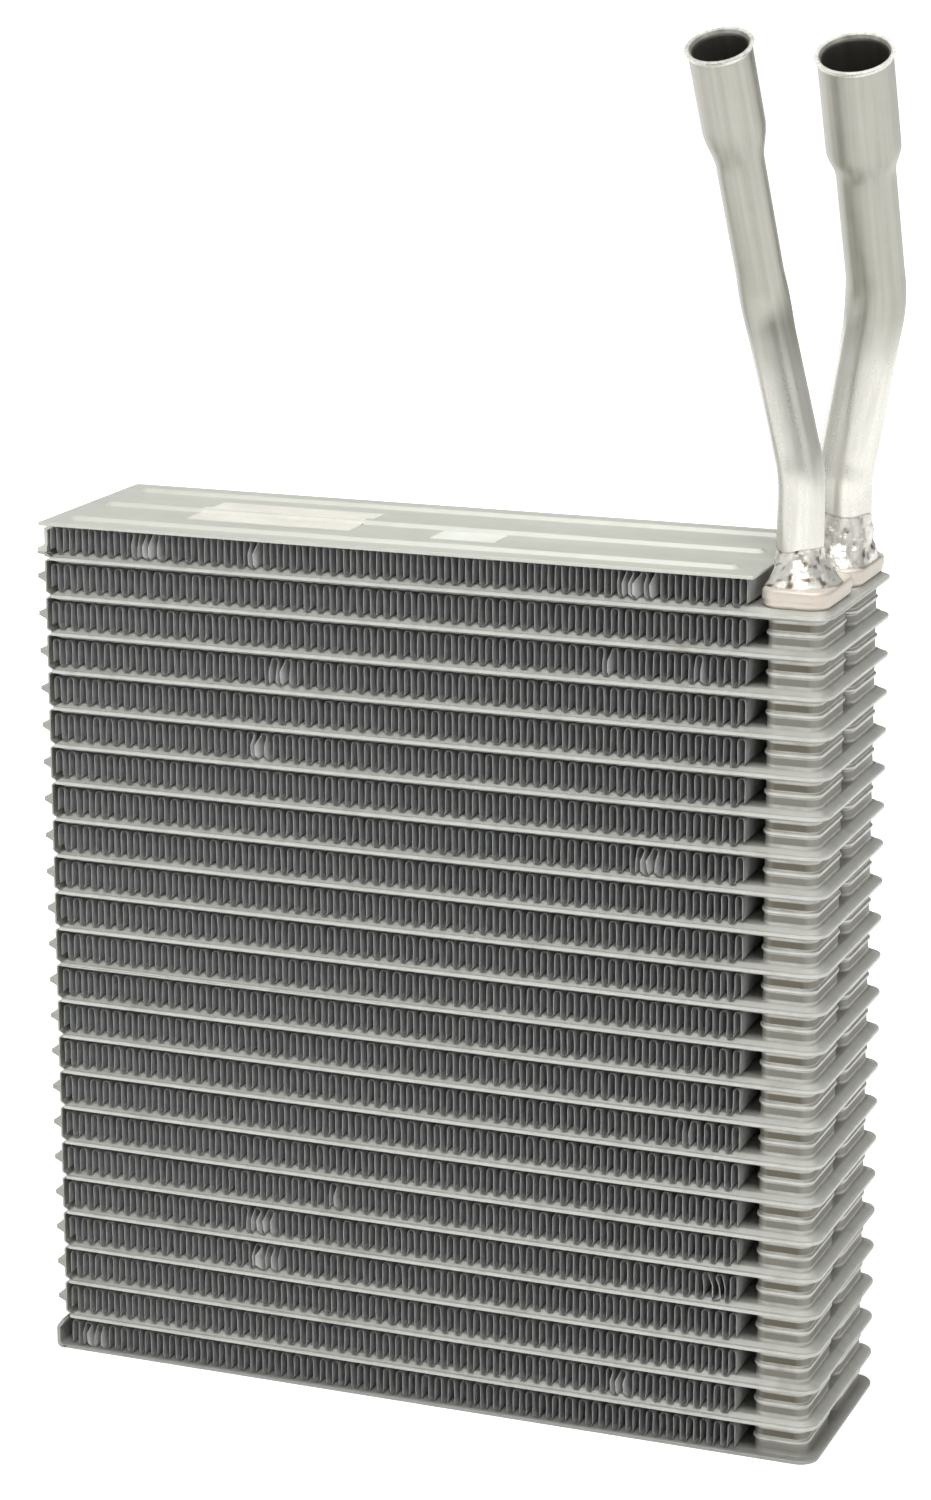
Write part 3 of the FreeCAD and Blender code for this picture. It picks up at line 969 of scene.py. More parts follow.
@dataclass
class TubeStack:
    """The flat tubes, each of two stamped plates brazed flange to flange."""

    count: int = 22
    stamping: Stamping = field(default_factory=Stamping)

    # From the flange's edge over the slope to the channel's flat top.
    edge_round: float = 0.17
    slope_foot: float = 0.95
    slope_crest: float = 2.5
    foot_round: float = 0.8
    crest_round: float = 1.1
    slope_gap: float = 0.05
    seam_gap: float = 0.02
    inner_gap: float = 0.3
    notch_corner: float = 0.9

    # How unevenly the flanges run, and where that dies out before the tank.
    waver: float = 0.09
    waver_length: float = 55.0
    waver_apart: float = 7.3
    waver_margin: float = 10.0
    waver_ease: float = 30.0

    # Painted highlights on the flange's edge and on the channel, and painted shade on the cups' walls
    # above and below a flange.
    rim_highlight: float = 0.4
    channel_highlight: float = 0.25
    wall_shade: tuple[float, float] = (0.75, 1.0)

    def plate(self, low: Vector, high: Vector, tab: float, beaded: bool, darkening: float) -> Shell:
        """Builds the upper stamped plate, with its mating plane at height 0.

        Args:
            low: The tube's lowest corner.
            high: Its highest corner.
            tab: Height of the tab that its end is folded into, 0 for none.
            beaded: Whether filler metal shows round the cups' rims.
            darkening: How much painted shade darkens the cups' walls.

        Returns:
            The closed sheet.
        """
        sizes = self.stamping
        cup_top = (high.z - low.z) / 2
        sheet = sizes.sheet
        plateau = sizes.tube_half
        wall = low.x + sizes.tab_reach + sizes.notch
        radii = (self.notch_corner, sizes.plate_corner, sizes.plate_corner, self.notch_corner)
        flange = Outline(wall, high.x, low.y, high.y, radii)
        cup = sizes.front_cup(low, high)
        shell = Shell()
        edge = [(0.0, 0.0, 0.0), (0.0, sheet, self.edge_round), (self.slope_foot / 2, sheet, 0.0)]
        rim = shell.rings(flange, rounded_path(edge, FEW_STEPS), PaintedLightAndWear(highlight_and_polish=self.rim_highlight))
        cup_root = sizes.flange + sizes.cup_setback - sizes.cup_foot
        rise = [
            (self.slope_foot / 2 + self.slope_gap, sheet, 0.0),
            (self.slope_foot, sheet, self.foot_round),
            (self.slope_crest, plateau, self.crest_round),
            (cup_root - self.seam_gap, plateau, 0.0),
        ]
        channel = shell.rings(flange, rounded_path(rise), PaintedLightAndWear(highlight_and_polish=self.channel_highlight))
        shell.bridge(rim[-1], channel[0])
        crest = self.slope_crest + sheet
        foot = self.slope_foot + sheet + self.inner_gap
        hollow = shell.rings(flange, [(crest, plateau - sheet), (foot, 0.0)])
        shell.bridge(hollow[-1], rim[0])
        outer_holes = []
        inner_holes = []
        for outline in (cup, cup.mirrored()):
            outer, inner = self._cup(shell, outline, (plateau, cup_top), beaded, darkening)
            outer_holes.append(outer)
            inner_holes.append(inner)
        shell.fill(channel[-1], outer_holes)
        shell.fill(hollow[0], inner_holes)
        if tab:
            sizes.tab(shell, (low, high), 0.0, tab, sheet, sizes.tab_darkening)
        return shell

    def _cup(self, shell: Shell, outline: Outline, ends: tuple, beaded: bool, darkening: float) -> tuple:
        """Adds one drawn cup with its open port.

        Args:
            shell: The plate's shell.
            outline: The cup's outline.
            ends: Height of the channel's outer face, and of the cup's rim.
            beaded: Whether filler metal shows at the rim.
            darkening: How much painted shade darkens its wall.

        Returns:
            The rings where the cup's outer and inner faces meet the channel's.
        """
        sizes = self.stamping
        plateau, top = ends
        wall, joint = sizes.cup_wall(shell, outline, plateau, top, beaded, darkening)
        face = shell.ring(outline, sizes.port_rim, top)
        shell.bridge(joint, face)
        inset = sizes.cup_draft + sizes.sheet
        inside = [
            (sizes.port_rim, top - sizes.sheet),
            (inset, top - sizes.sheet),
            (sizes.sheet, plateau - sizes.sheet),
        ]
        inner = shell.rings(outline, inside)
        shell.bridge(face, inner[0])
        return wall, inner[-1]

    def tube(self, number: int, plates: dict[Half, Shell]) -> Shell:
        """Sets two plates flange to flange, a little uneven as stampings are.

        Args:
            number: The tube's number, from the top.
            plates: The two plates, each as an upper one.

        Returns:
            The tube's shell, in place.
        """
        low, high = box_mm("tube_%02d" % number)
        middle = (low.z + high.z) / 2
        tube = Shell()
        for half, plate in plates.items():
            turn = Matrix.Rotation(0.0 if half is Half.UPPER else math.pi, 4, "X")
            tube.add(plate, Matrix.Translation((0.0, 0.0, middle)) @ turn)
        still = self.stamping.front_cup(low, high).x0 - self.waver_margin
        for point in tube.points:
            across = (point.x / self.waver_length, point.y / self.waver_length)
            place = Vector((*across, number * self.waver_apart))
            ease = within_one((still - point.x) / self.waver_ease)
            point.z += noise.noise(place) * self.waver * ease
        return tube

    def build(self, workshop: Workshop) -> None:
        """Builds and dresses each tube. The first plate's tab is short, and the last plate has none."""
        low, high = box_mm("tube_01")
        # Painted shade on the cups' walls, darker on those that hang under a flange.
        above, below = self.wall_shade
        half = (high.z - low.z) / 2
        first = self.plate(low, high, self.stamping.short_tab, False, above)
        upper = self.plate(low, high, half, True, above)
        lower = self.plate(low, high, half, True, below)
        last = self.plate(low, high, 0.0, True, below)
        for number in range(1, self.count + 1):
            plates = {
                Half.UPPER: first if number == 1 else upper,
                Half.LOWER: last if number == self.count else lower,
            }
            node = "tube_%02d" % number
            piece = self.tube(number, plates).build(node + "_plates")
            workshop.dress(piece, TUBE_FINISH, node)


@dataclass(frozen=True)
class Dent:
    """A place where a knock has bent the front of a few folds: its strip, X, reach and push."""

    strip: int
    place: float
    reach: float
    push: float


@dataclass
class FinStack:
    """The corrugated strips of fin foil between the tubes."""

    count: int = 23
    walls: int = 104
    columns: int = 5
    foil: float = 0.11
    seed: int = 37
    seed_apart: float = 1.7

    # Six points make a wall: three up the leg, the rest round the bend.
    wall_points: float = 6.0
    leg_steps: float = 2.0
    depth_power: float = 2.6

    # How unevenly the walls stand, each by itself and a group together.
    unevenness: float = 0.28
    spread: float = 0.35
    close_waver: tuple[float, float, float] = (420.0, 60.0, 170.0)
    loose_waver: tuple[float, float, float] = (42.0, 12.0, 1.0)

    # Knocked places.
    dents: tuple[Dent, ...] = (
        Dent(1, -82.0, 4.6, -2.2),
        Dent(1, -48.5, 2.4, -1.6),
        Dent(1, 63.5, 6.0, -2.2),
        Dent(3, 55.4, 2.2, -1.5),
        Dent(3, 80.7, 2.0, -1.2),
        Dent(4, -41.0, 4.2, -1.7),
        Dent(6, -48.6, 3.4, -1.9),
        Dent(8, 67.2, 5.0, -2.0),
        Dent(15, 79.4, 2.0, -1.3),
        Dent(18, -26.6, 2.0, -1.3),
        Dent(19, -49.7, 5.4, -1.7),
        Dent(19, 87.2, 4.2, 1.9),
        Dent(20, -48.6, 5.4, -2.1),
        Dent(22, 59.8, 2.6, -1.8),
        Dent(23, -104.6, 4.6, -1.7),
    )
    dents_each: int = 3
    dent_twist: float = 0.7
    dent_fade: float = 6.0
    dent_grain: tuple[float, float, float] = (380.0, 0.0, 60.0)
    dent_range: tuple[float, float] = (0.2, 1.3)
    bright_bend: float = 1.0

    # Painted highlight at the front edge, and painted shade with flux stain at the folds.
    edge_highlight: float = 0.05
    edge_fade: float = 9.0
    fold_shade_and_flux: float = 0.9
    fold_shade_and_flux_power: float = 6.0

    def tree(self) -> bpy.types.NodeTree:
        """Builds the tree that folds one strip out of a flat grid.

        Returns:
            The node tree, with a named input for each size.
        """
        tree = bpy.data.node_groups.new("folded_fin_strip", "GeometryNodeTree")
        self._name_inputs(tree)
        wiring = Wiring(tree)
        given = wiring.add("NodeGroupInput").outputs
        calc = wiring.math

        grid, across, along, height = self._fold(wiring, given)
        depth = calc("MULTIPLY", given["Depth"], calc("POWER", across, self.depth_power))
        ideal = wiring.add("ShaderNodeCombineXYZ", {0: along, 1: depth, 2: height}).outputs[0]
        seeds = {0: given["Seed"], 1: given["Seed"], 2: 0.0}
        shift = wiring.add("ShaderNodeCombineXYZ", seeds).outputs[0]
        moved = wiring.add("ShaderNodeVectorMath", {0: ideal, 1: shift}, operation="ADD").outputs[0]
        close = wiring.noise(wiring.scaled(moved, self.close_waver), 1.0, 1.0)
        loose = wiring.noise(wiring.scaled(moved, self.loose_waver), 1.0, 1.0)
        close = calc("MULTIPLY", calc("SUBTRACT", close, 0.5), given["Unevenness"])
        loose = calc("MULTIPLY", calc("SUBTRACT", loose, 0.5), given["Spread"])
        offset = calc("MULTIPLY", calc("ADD", close, loose), 2.0)

        share = calc("DIVIDE", height, given["Height"])
        half_wave = calc("SINE", calc("MULTIPLY", share, math.pi))
        full_wave = calc("SINE", calc("MULTIPLY", share, math.tau))
        belly = calc("MULTIPLY_ADD", full_wave, self.dent_twist, half_wave)
        front = calc("SUBTRACT", 1.0, across)
        nearness = calc("POWER", front, self.dent_fade)
        grain = wiring.noise(wiring.scaled(moved, self.dent_grain), 1.0)
        uneven = wiring.ranged(grain, NOISE_RANGE, self.dent_range)
        bent = calc("MULTIPLY", calc("MULTIPLY", belly, nearness), uneven)
        offset, knocked = self._knock(wiring, given, along, bent, offset)

        # A painted highlight along the front edge, and the knocks rubbed bright.
        edge = calc("MULTIPLY", calc("POWER", front, self.edge_fade), self.edge_highlight)
        edge = calc("MULTIPLY", edge, half_wave)
        bright = calc("MINIMUM", calc("MAXIMUM", edge, knocked), 1.0)
        # Painted shade with flux stain at the top and bottom folds.
        fold = calc("ABSOLUTE", calc("MULTIPLY_ADD", share, 2.0, -1.0))
        dark = calc("MULTIPLY", calc("POWER", fold, self.fold_shade_and_flux_power), self.fold_shade_and_flux)
        shape = grid
        for name, value in ((HIGHLIGHT_AND_POLISH, bright), (SHADE_AND_STAIN, dark)):
            settings = {"Geometry": shape, "Name": name, "Value": value}
            kept = wiring.add("GeometryNodeStoreNamedAttribute", settings, domain="POINT")
            shape = kept.outputs[0]
        x = calc("ADD", calc("ADD", along, offset), given["Start"])
        y = calc("ADD", depth, given["Front"])
        z = calc("ADD", height, given["Base"])
        final = wiring.add("ShaderNodeCombineXYZ", {0: x, 1: y, 2: z}).outputs[0]
        settings = {"Geometry": shape, "Position": final}
        folded = wiring.add("GeometryNodeSetPosition", settings).outputs[0]
        real = wiring.add("GeometryNodeRealizeInstances", {"Geometry": folded}).outputs[0]
        settings = {"Geometry": real, "Material": given["Foil"]}
        foil = wiring.add("GeometryNodeSetMaterial", settings).outputs[0]
        wiring.add("NodeGroupOutput", {"Geometry": foil})
        return tree

    def _name_inputs(self, tree: bpy.types.NodeTree) -> None:
        """Gives the tree its named inputs and its output."""
        sizes = ["Walls", "Spacing", "Height", "Depth", "Start", "Front", "Base"]
        sizes += ["Unevenness", "Spread", "Seed"]
        for number in range(1, self.dents_each + 1):
            sizes += ["Dent %d %s" % (number, part) for part in ("Place", "Reach", "Push")]
        sockets = [("Geometry", "Geometry"), *((name, "Float") for name in sizes), ("Foil", "Material")]
        for name, kind in sockets:
            tree.interface.new_socket(name, in_out="INPUT", socket_type="NodeSocket" + kind)
        tree.interface.new_socket("Geometry", in_out="OUTPUT", socket_type="NodeSocketGeometry")

    def _fold(self, wiring: Wiring, given: bpy.types.NodeOutputs) -> tuple:
        """Folds a flat grid: each wall has an upright leg and a half-round bend to the next.

        Args:
            wiring: The tree's wiring.
            given: The tree's inputs.

        Returns:
            The grid, and each point's share of the depth, its place along the strip and its height.
        """
        calc = wiring.math
        bend_steps = self.wall_points - self.leg_steps
        last_bend = bend_steps - 1.0
        points = calc("SUBTRACT", calc("MULTIPLY", given["Walls"], self.wall_points), last_bend)
        span = calc("SUBTRACT", points, 1.0)
        sizes = {"Size X": span, "Size Y": 1.0, "Vertices X": points, "Vertices Y": self.columns}
        grid = wiring.add("GeometryNodeMeshGrid", sizes)
        place = wiring.add("GeometryNodeInputPosition")
        split = wiring.add("ShaderNodeSeparateXYZ", {0: place.outputs[0]})
        index = calc("ROUND", calc("MULTIPLY_ADD", span, 0.5, split.outputs["X"]))
        across = calc("ADD", split.outputs["Y"], 0.5)

        rounding = 0.01
        wall = calc("FLOOR", calc("DIVIDE", calc("ADD", index, rounding), self.wall_points))
        step = calc("SUBTRACT", index, calc("MULTIPLY", wall, self.wall_points))
        radius = calc("MULTIPLY", given["Spacing"], 0.5)
        past = calc("MAXIMUM", calc("SUBTRACT", step, self.leg_steps), 0.0)
        bend = calc("MULTIPLY", past, math.pi / bend_steps)
        climb = calc("MULTIPLY", calc("MINIMUM", step, self.leg_steps), 1.0 / self.leg_steps)
        straight = calc("SUBTRACT", given["Height"], given["Spacing"])
        height = calc("MULTIPLY_ADD", straight, climb, radius)
        height = calc("MULTIPLY_ADD", radius, calc("SINE", bend), height)
        odd = calc("FLOORED_MODULO", wall, 2.0)
        flipped = calc("SUBTRACT", given["Height"], height)
        height = calc("MULTIPLY_ADD", odd, calc("SUBTRACT", flipped, height), height)
        swing = calc("MULTIPLY", radius, calc("SUBTRACT", 1.0, calc("COSINE", bend)))
        along = calc("MULTIPLY_ADD", wall, given["Spacing"], swing)
        return grid.outputs["Mesh"], across, along, height

    def _knock(
        self,
        wiring: Wiring,
        given: bpy.types.NodeOutputs,
        along: bpy.types.NodeSocket,
        bent: bpy.types.NodeSocket,
        offset: bpy.types.NodeSocket,
    ) -> tuple:
        """Bends the walls where the strip is knocked.

        Args:
            wiring: The tree's wiring.
            given: The tree's inputs.
            along: Each point's place along the strip.
            bent: How far each point follows a knock.
            offset: How far each point is already moved along the strip.

        Returns:
            The new offset, and how bright the knocks have rubbed each point.
        """
        calc = wiring.math
        moved_by = None
        for number in range(1, self.dents_each + 1):
            name = "Dent %d " % number
            away = calc("ABSOLUTE", calc("SUBTRACT", along, given[name + "Place"]))
            grip = calc("SUBTRACT", 1.0, calc("DIVIDE", away, given[name + "Reach"]))
            grip = calc("SQRT", calc("MAXIMUM", grip, 0.0))
            push = calc("MULTIPLY", grip, given[name + "Push"])
            offset = calc("MULTIPLY_ADD", push, bent, offset)
            here = calc("ABSOLUTE", calc("MULTIPLY", push, bent))
            moved_by = here if moved_by is None else calc("MAXIMUM", here, moved_by)
        return offset, calc("MULTIPLY", moved_by, 1.0 / (self.bright_bend * MM))

    def strip(self, number: int, tree: bpy.types.NodeTree, workshop: Workshop) -> bpy.types.Object:
        """Folds one strip.

        Args:
            number: The strip's number, from the top.
            tree: The tree that folds it.
            workshop: Where its material comes from.

        Returns:
            The strip as a plain mesh object.
        """
        low, high = box_mm("fin_%02d" % number)
        spacing = (high.x - low.x) / (self.walls - 1)
        values = {
            "Walls": float(self.walls),
            "Spacing": spacing * MM,
            "Height": (high.z - low.z) * MM,
            "Depth": (high.y - low.y) * MM,
            "Start": low.x * MM,
            "Front": low.y * MM,
            "Base": low.z * MM,
            "Unevenness": self.unevenness * MM,
            "Spread": self.spread * MM,
            "Seed": self.seed + number * self.seed_apart,
            "Foil": workshop.material(FIN_FINISH),
        }
        outside = low.x - 50.0
        none = Dent(number, outside, 1.0, 0.0)
        here = [dent for dent in self.dents if dent.strip == number] + [none] * self.dents_each
        for place, dent in enumerate(here[: self.dents_each], 1):
            values["Dent %d Place" % place] = (dent.place - low.x) * MM
            values["Dent %d Reach" % place] = dent.reach * MM
            values["Dent %d Push" % place] = dent.push * MM
        name = "fin_%02d_foil" % number
        source = place_object(name + "_source", bpy.data.meshes.new(name + "_source"))
        folding = source.modifiers.new("folding", "NODES")
        folding.node_group = tree
        for item in tree.interface.items_tree:
            if item.in_out == "INPUT" and item.name in values:
                folding[item.identifier] = values[item.name]
        thickness = source.modifiers.new("foil", "SOLIDIFY")
        thickness.thickness = self.foil * MM
        thickness.offset = 0.0
        graph = bpy.context.evaluated_depsgraph_get()
        mesh = bpy.data.meshes.new_from_object(source.evaluated_get(graph), depsgraph=graph)
        bpy.data.objects.remove(source)
        mesh.name = name
        mesh.shade_smooth()
        mesh.set_sharp_from_angle(angle=FOIL_SMOOTH_ANGLE)
        return place_object(name, mesh)

    def build(self, workshop: Workshop) -> None:
        """Builds and dresses each strip."""
        tree = self.tree()
        for number in range(1, self.count + 1):
            piece = self.strip(number, tree, workshop)
            workshop.dress(piece, FIN_FINISH, "fin_%02d" % number)


@dataclass
class EndPlates:
    """The pressed plates above and below the stack."""

    stamping: Stamping = field(default_factory=Stamping)
    sheet: float = 1.0
    overhang: float = 1.3
    corner: float = 0.8
    square_corner: float = 0.1
    edge_round: float = 0.28
    # A painted highlight on the sheet's rounded edge.
    edge_highlight: float = 0.25
    tab_sink: float = 0.1

    # The top plate's ribs, with a painted highlight, and the hollows under them.
    rib_width: float = 6.0
    rib_crest: float = 2.6
    rib_rise: float = 1.0
    rib_spacing: float = 23.0
    rib_end_margin: float = 6.0
    rib_round: float = 0.9
    rib_skirt: float = 0.7
    rib_foot: float = 0.1
    rib_highlight: float = 0.2
    hollow_margin: float = 0.4
    hollow_foot: float = 0.6
    hollow_round: float = 0.3
    hollow_crest_round: float = 0.4

    # The bottom plate's pads, with painted shade on their walls, and its end that is bent up, with a
    # painted highlight.
    pad_crest_round: float = 0.8
    pad_hollow: float = 4.0
    pad_shade: float = 0.6
    wall_bend: float = 1.8
    wall_curl: float = 1.6
    wall_lean: float = 2.6
    wall_root: float = 1.0
    wall_highlight: float = 0.3

    def _slab(self, shell: Shell, outline: Outline, z0: float, z1: float) -> tuple:
        """Adds a flat sheet's rounded edge.

        Args:
            shell: The shell that gets it.
            outline: The sheet's outline.
            z0: Height of its underside.
            z1: Height of its upper side.

        Returns:
            The rings where the underside and the upper side begin.
        """
        edge = [
            (self.sheet, z0, 0.0),
            (0.0, z0, self.edge_round),
            (0.0, z1, self.edge_round),
            (self.sheet, z1, 0.0),
        ]
        rings = shell.rings(outline, rounded_path(edge, FEW_STEPS), PaintedLightAndWear(highlight_and_polish=self.edge_highlight))
        return rings[0], rings[-1]

    def _rib(self, shell: Shell, outline: Outline, z0: float, z1: float) -> tuple:
        """Adds one pressed rib and the hollow beneath it.

        Args:
            shell: The shell that gets it.
            outline: The rib's outline.
            z0: Height of the plate's underside.
            z1: Height of its upper side.

        Returns:
            The rings where the rib and its hollow meet the plate.
        """
        foot = self.rib_foot
        middle = self.rib_width / 2 - foot
        slope = (self.rib_width - self.rib_crest) / 2
        bead = [
            (-self.rib_skirt, z1, 0.0),
            (foot, z1, self.rib_round),
            (slope - foot, z1 + self.rib_rise, self.rib_round),
            (middle, z1 + self.rib_rise, 0.0),
        ]
        crown = shell.rings(outline, rounded_path(bead), PaintedLightAndWear(highlight_and_polish=self.rib_highlight))
        shell.fill(crown[-1])
        inside = [
            (self.hollow_margin, z0, 0.0),
            (self.hollow_foot, z0, self.hollow_round),
            (slope, z0 + self.rib_rise, self.hollow_crest_round),
            (middle, z0 + self.rib_rise, 0.0),
        ]
        hollow = shell.rings(outline, rounded_path(inside, FEW_STEPS))
        shell.fill(hollow[-1])
        return crown[0], hollow[0]

    def top(self) -> Shell:
        """Builds the top plate: three ribs, and its end folded down to the first tube."""
        low, high = box_mm("top_end_plate")
        z1 = high.z - self.rib_rise
        z0 = z1 - self.sheet
        x0 = low.x + self.stamping.tab_reach - self.overhang
        shell = Shell()
        outline = Outline(x0, high.x, low.y, high.y, (self.corner,) * 4)
        under, upper = self._slab(shell, outline, z0, z1)
        above = []
        below = []
        half = self.rib_width / 2
        ends = (x0 + self.rib_end_margin, high.x - self.rib_end_margin)
        for place in (-self.rib_spacing, 0.0, self.rib_spacing):
            rib = Outline(*ends, place - half, place + half, (half,) * 4)
            crown, hollow = self._rib(shell, rib, z0, z1)
            above.append(crown)
            below.append(hollow)
        shell.fill(upper, above)
        shell.fill(under, below)
        root = z0 + self.tab_sink
        self.stamping.tab(shell, (low, high), root, low.z - root, self.sheet, 0.0)
        return shell

    def bottom(self) -> Shell:
        """Builds the bottom plate: two pads that close the tanks, and its end bent up."""
        low, high = box_mm("bottom_end_plate")
        sizes = self.stamping
        z1 = low.z + self.sheet
        last_tube, _ = box_mm("tube_22")
        pad_top = last_tube.z
        bend_x = low.x + self.wall_bend
        corner = sizes.plate_corner
        cup = sizes.front_cup(low, high)
        shell = Shell()
        radii = (self.square_corner, corner, corner, self.square_corner)
        outline = Outline(bend_x, high.x, low.y, high.y, radii)
        under, upper = self._slab(shell, outline, low.z, z1)
        above = []
        below = []
        for place in (cup, cup.mirrored()):
            # The pads' walls get painted shade.
            foot, rim = sizes.cup_wall(shell, place, z1, pad_top, True, self.pad_shade)
            shell.fill(rim)
            above.append(foot)
            inset = sizes.port_rim
            ceiling = pad_top - self.sheet
            hollow = [
                (inset - self.hollow_margin, low.z, 0.0),
                (inset, low.z, self.hollow_round),
                (inset, ceiling, self.pad_crest_round),
                (self.pad_hollow, ceiling, 0.0),
            ]
            hollows = shell.rings(place, rounded_path(hollow, FEW_STEPS))
            shell.fill(hollows[-1])
            below.append(hollows[0])
        shell.fill(upper, above)
        shell.fill(under, below)
        half = self.sheet / 2
        wall = low.x + sizes.tab_reach
        corners = [
            (bend_x + self.wall_root, low.z, 0.0),
            (low.x, low.z, self.wall_bend),
            (low.x, high.z - self.wall_lean, self.wall_curl),
            (wall - half, high.z, 0.0),
        ]
        section = thickened(rounded_path(corners), self.sheet)
        shell.section(section, low.y, high.y, PaintedLightAndWear(highlight_and_polish=self.wall_highlight))
        return shell

    def build(self, workshop: Workshop) -> None:
        """Builds and dresses both plates."""
        plates = {"top_end_plate": self.top(), "bottom_end_plate": self.bottom()}
        for node, shell in plates.items():
            finish = TOP_PLATE_FINISH if node == "top_end_plate" else SHADED_BOTTOM_PLATE_FINISH
            workshop.dress(shell.build(node + "_pressing"), finish, node)


@dataclass(frozen=True)
class Stretch:
    """One stretch of a pipe's centre line, straight or turned about an axis."""

    start: Vector
    heading: Vector
    length: float
    axis: Vector | None = None
    radius: float = 0.0

    def at(self, distance: float) -> tuple[Vector, Vector]:
        """Gives the point and heading at a distance along the stretch.

        Args:
            distance: Distance from the stretch's start.

        Returns:
            The point and the heading there.
        """
        if self.axis is None:
            return self.start + self.heading * distance, self.heading
        centre = self.start + self.axis.cross(self.heading) * self.radius
        turn = Matrix.Rotation(distance / self.radius, 3, self.axis)
        return centre + turn @ (self.start - centre), turn @ self.heading


@dataclass
class Pipe:
    """A bent refrigerant pipe, swelled to a bell socket and flared at its mouth."""

    name: str
    cap_node: str
    foot: tuple[float, float]
    runs: tuple[tuple[float, float, float], ...]
    diameter: float
    wall: float
    bell_diameter: float
    bell_length: float
    taper: float
    bend_radius: float
    lip_diameter: float
    sides: int = 48
    step: float = 2.4
    flattening: float = 0.045

    # The flared lip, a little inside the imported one.
    lip_flare: float = 1.5
    lip_rings: int = 5
    lip_gap: float = 0.4
    lip_power: float = 1.6
    mouth_trim: float = 0.35

    # The lip is made brighter, the stretch above the foot gets a painted highlight, and the bore
    # painted shade.
    lip_bright: float = 0.8
    bore_mouth: float = 0.5
    bore_shade: float = 0.85
    highlight_to: float = 68.0
    highlight_fade: float = 14.0
    foot_highlight: float = 0.85

    def foot_point(self) -> Vector:
        """Gives the middle of the pipe's foot, on top of its cap."""
        low, high = box_mm(self.cap_node)
        across = (low + high) / 2
        return Vector((across.x + self.foot[0], across.y + self.foot[1], high.z))

    def stretches(self) -> list[Stretch]:
        """Gives the centre line as straight stretches joined by tangent bends."""
        corners = [self.foot_point()]
        for run in self.runs:
            corners.append(corners[-1] + Vector(run))
        made: list[Stretch] = []
        start = corners[0]
        for before, corner, after in zip(corners, corners[1:], corners[2:]):
            incoming = (corner - before).normalized()
            outgoing = (after - corner).normalized()
            turn = incoming.angle(outgoing)
            tangent = self.bend_radius * math.tan(turn / 2)
            bend_start = corner - incoming * tangent
            made.append(Stretch(start, incoming, (bend_start - start).length))
            axis = incoming.cross(outgoing).normalized()
            made.append(Stretch(bend_start, incoming, self.bend_radius * turn, axis, self.bend_radius))
            start = corner + outgoing * tangent
        end = corners[-1] - start
        made.append(Stretch(start, end.normalized(), end.length))
        return made

    def radius_at(self, left: float) -> float:
        """Gives the outer radius.

        Args:
            left: Distance that is left to the mouth.

        Returns:
            The radius there.
        """
        share = within_one((self.bell_length + self.taper - left) / self.taper)
        radius = self.diameter / 2 + (self.bell_diameter - self.diameter) / 2 * eased(share)
        flare = max(self.lip_flare - left, 0.0) / self.lip_flare
        return radius + (self.lip_diameter - self.bell_diameter) / 2 * flare**self.lip_power

    def _stations(self, total: float) -> list[float]:
        """Gives the places of the pipe's rings, close together at the lip.

        Args:
            total: Length of the centre line.

        Returns:
            The distance of each ring from the foot.
        """
        count = math.ceil(total / self.step)
        even = [total * number / count for number in range(count)]
        plain = [place for place in even if total - place > self.lip_flare + self.lip_gap]
        left = [self.lip_flare * number / self.lip_rings for number in range(self.lip_rings + 1)]
        return plain + [total - distance for distance in left[::-1]]

    def build(self, workshop: Workshop) -> None:
        """Sweeps the pipe's wall along its centre line and dresses it."""
        stretches = self.stretches()
        total = sum(stretch.length for stretch in stretches) - self.mouth_trim
        shell = Shell()
        flow: list[Vector] = []
        outer = []
        inner = []
        side = Vector((1.0, 0.0, 0.0))
        for station in self._stations(total):
            point, heading, bend, axis = self._find(stretches, station)
            side = (side - heading * side.dot(heading)).normalized()
            other = heading.cross(side)
            radius = self.radius_at(total - station)
            # A painted highlight below the kink, a brighter lip, and painted shade in the bore.
            outside = PaintedLightAndWear(highlight_and_polish=self._highlight_and_polish(station, total))
            deep = total - station > self.lip_flare * self.bore_mouth
            inside = PaintedLightAndWear(darkening=self.bore_shade if deep else 0.0)
            for wall, rings, painted_light_and_wear in ((0.0, outer, outside), (self.wall, inner, inside)):
                ring = []
                for cosine, sine in unit_circle(self.sides):
                    arm = side * cosine + other * sine
                    squeeze = 1.0
                    if axis is not None:
                        squeeze += self.flattening * bend * (2 * abs(arm.dot(axis)) - 1.0)
                    ring.append(point + arm * (radius - wall) * squeeze)
                    flow.append(Vector((cosine * radius, sine * radius, station)))
                rings.append(shell.loop(ring, painted_light_and_wear))
        for rings in (outer, inner):
            for first, second in zip(rings, rings[1:]):
                shell.bridge(first, second)
        lip = [(shell.points[a] + shell.points[b]) / 2 for a, b in zip(outer[-1], inner[-1])]
        crest = shell.loop(lip, PaintedLightAndWear(highlight_and_polish=1.0))
        flow += [flow[number] for number in outer[-1]]
        shell.bridge(outer[-1], crest)
        shell.bridge(crest, inner[-1])
        shell.bridge(inner[0], outer[0])
        piece = shell.build(self.name + "_tube")
        values = piece.data.attributes.new(FLOW, "FLOAT_VECTOR", "POINT")
        values.data.foreach_set("vector", [part * MM for item in flow for part in item])
        workshop.dress(piece, PIPE_FINISH, self.name)

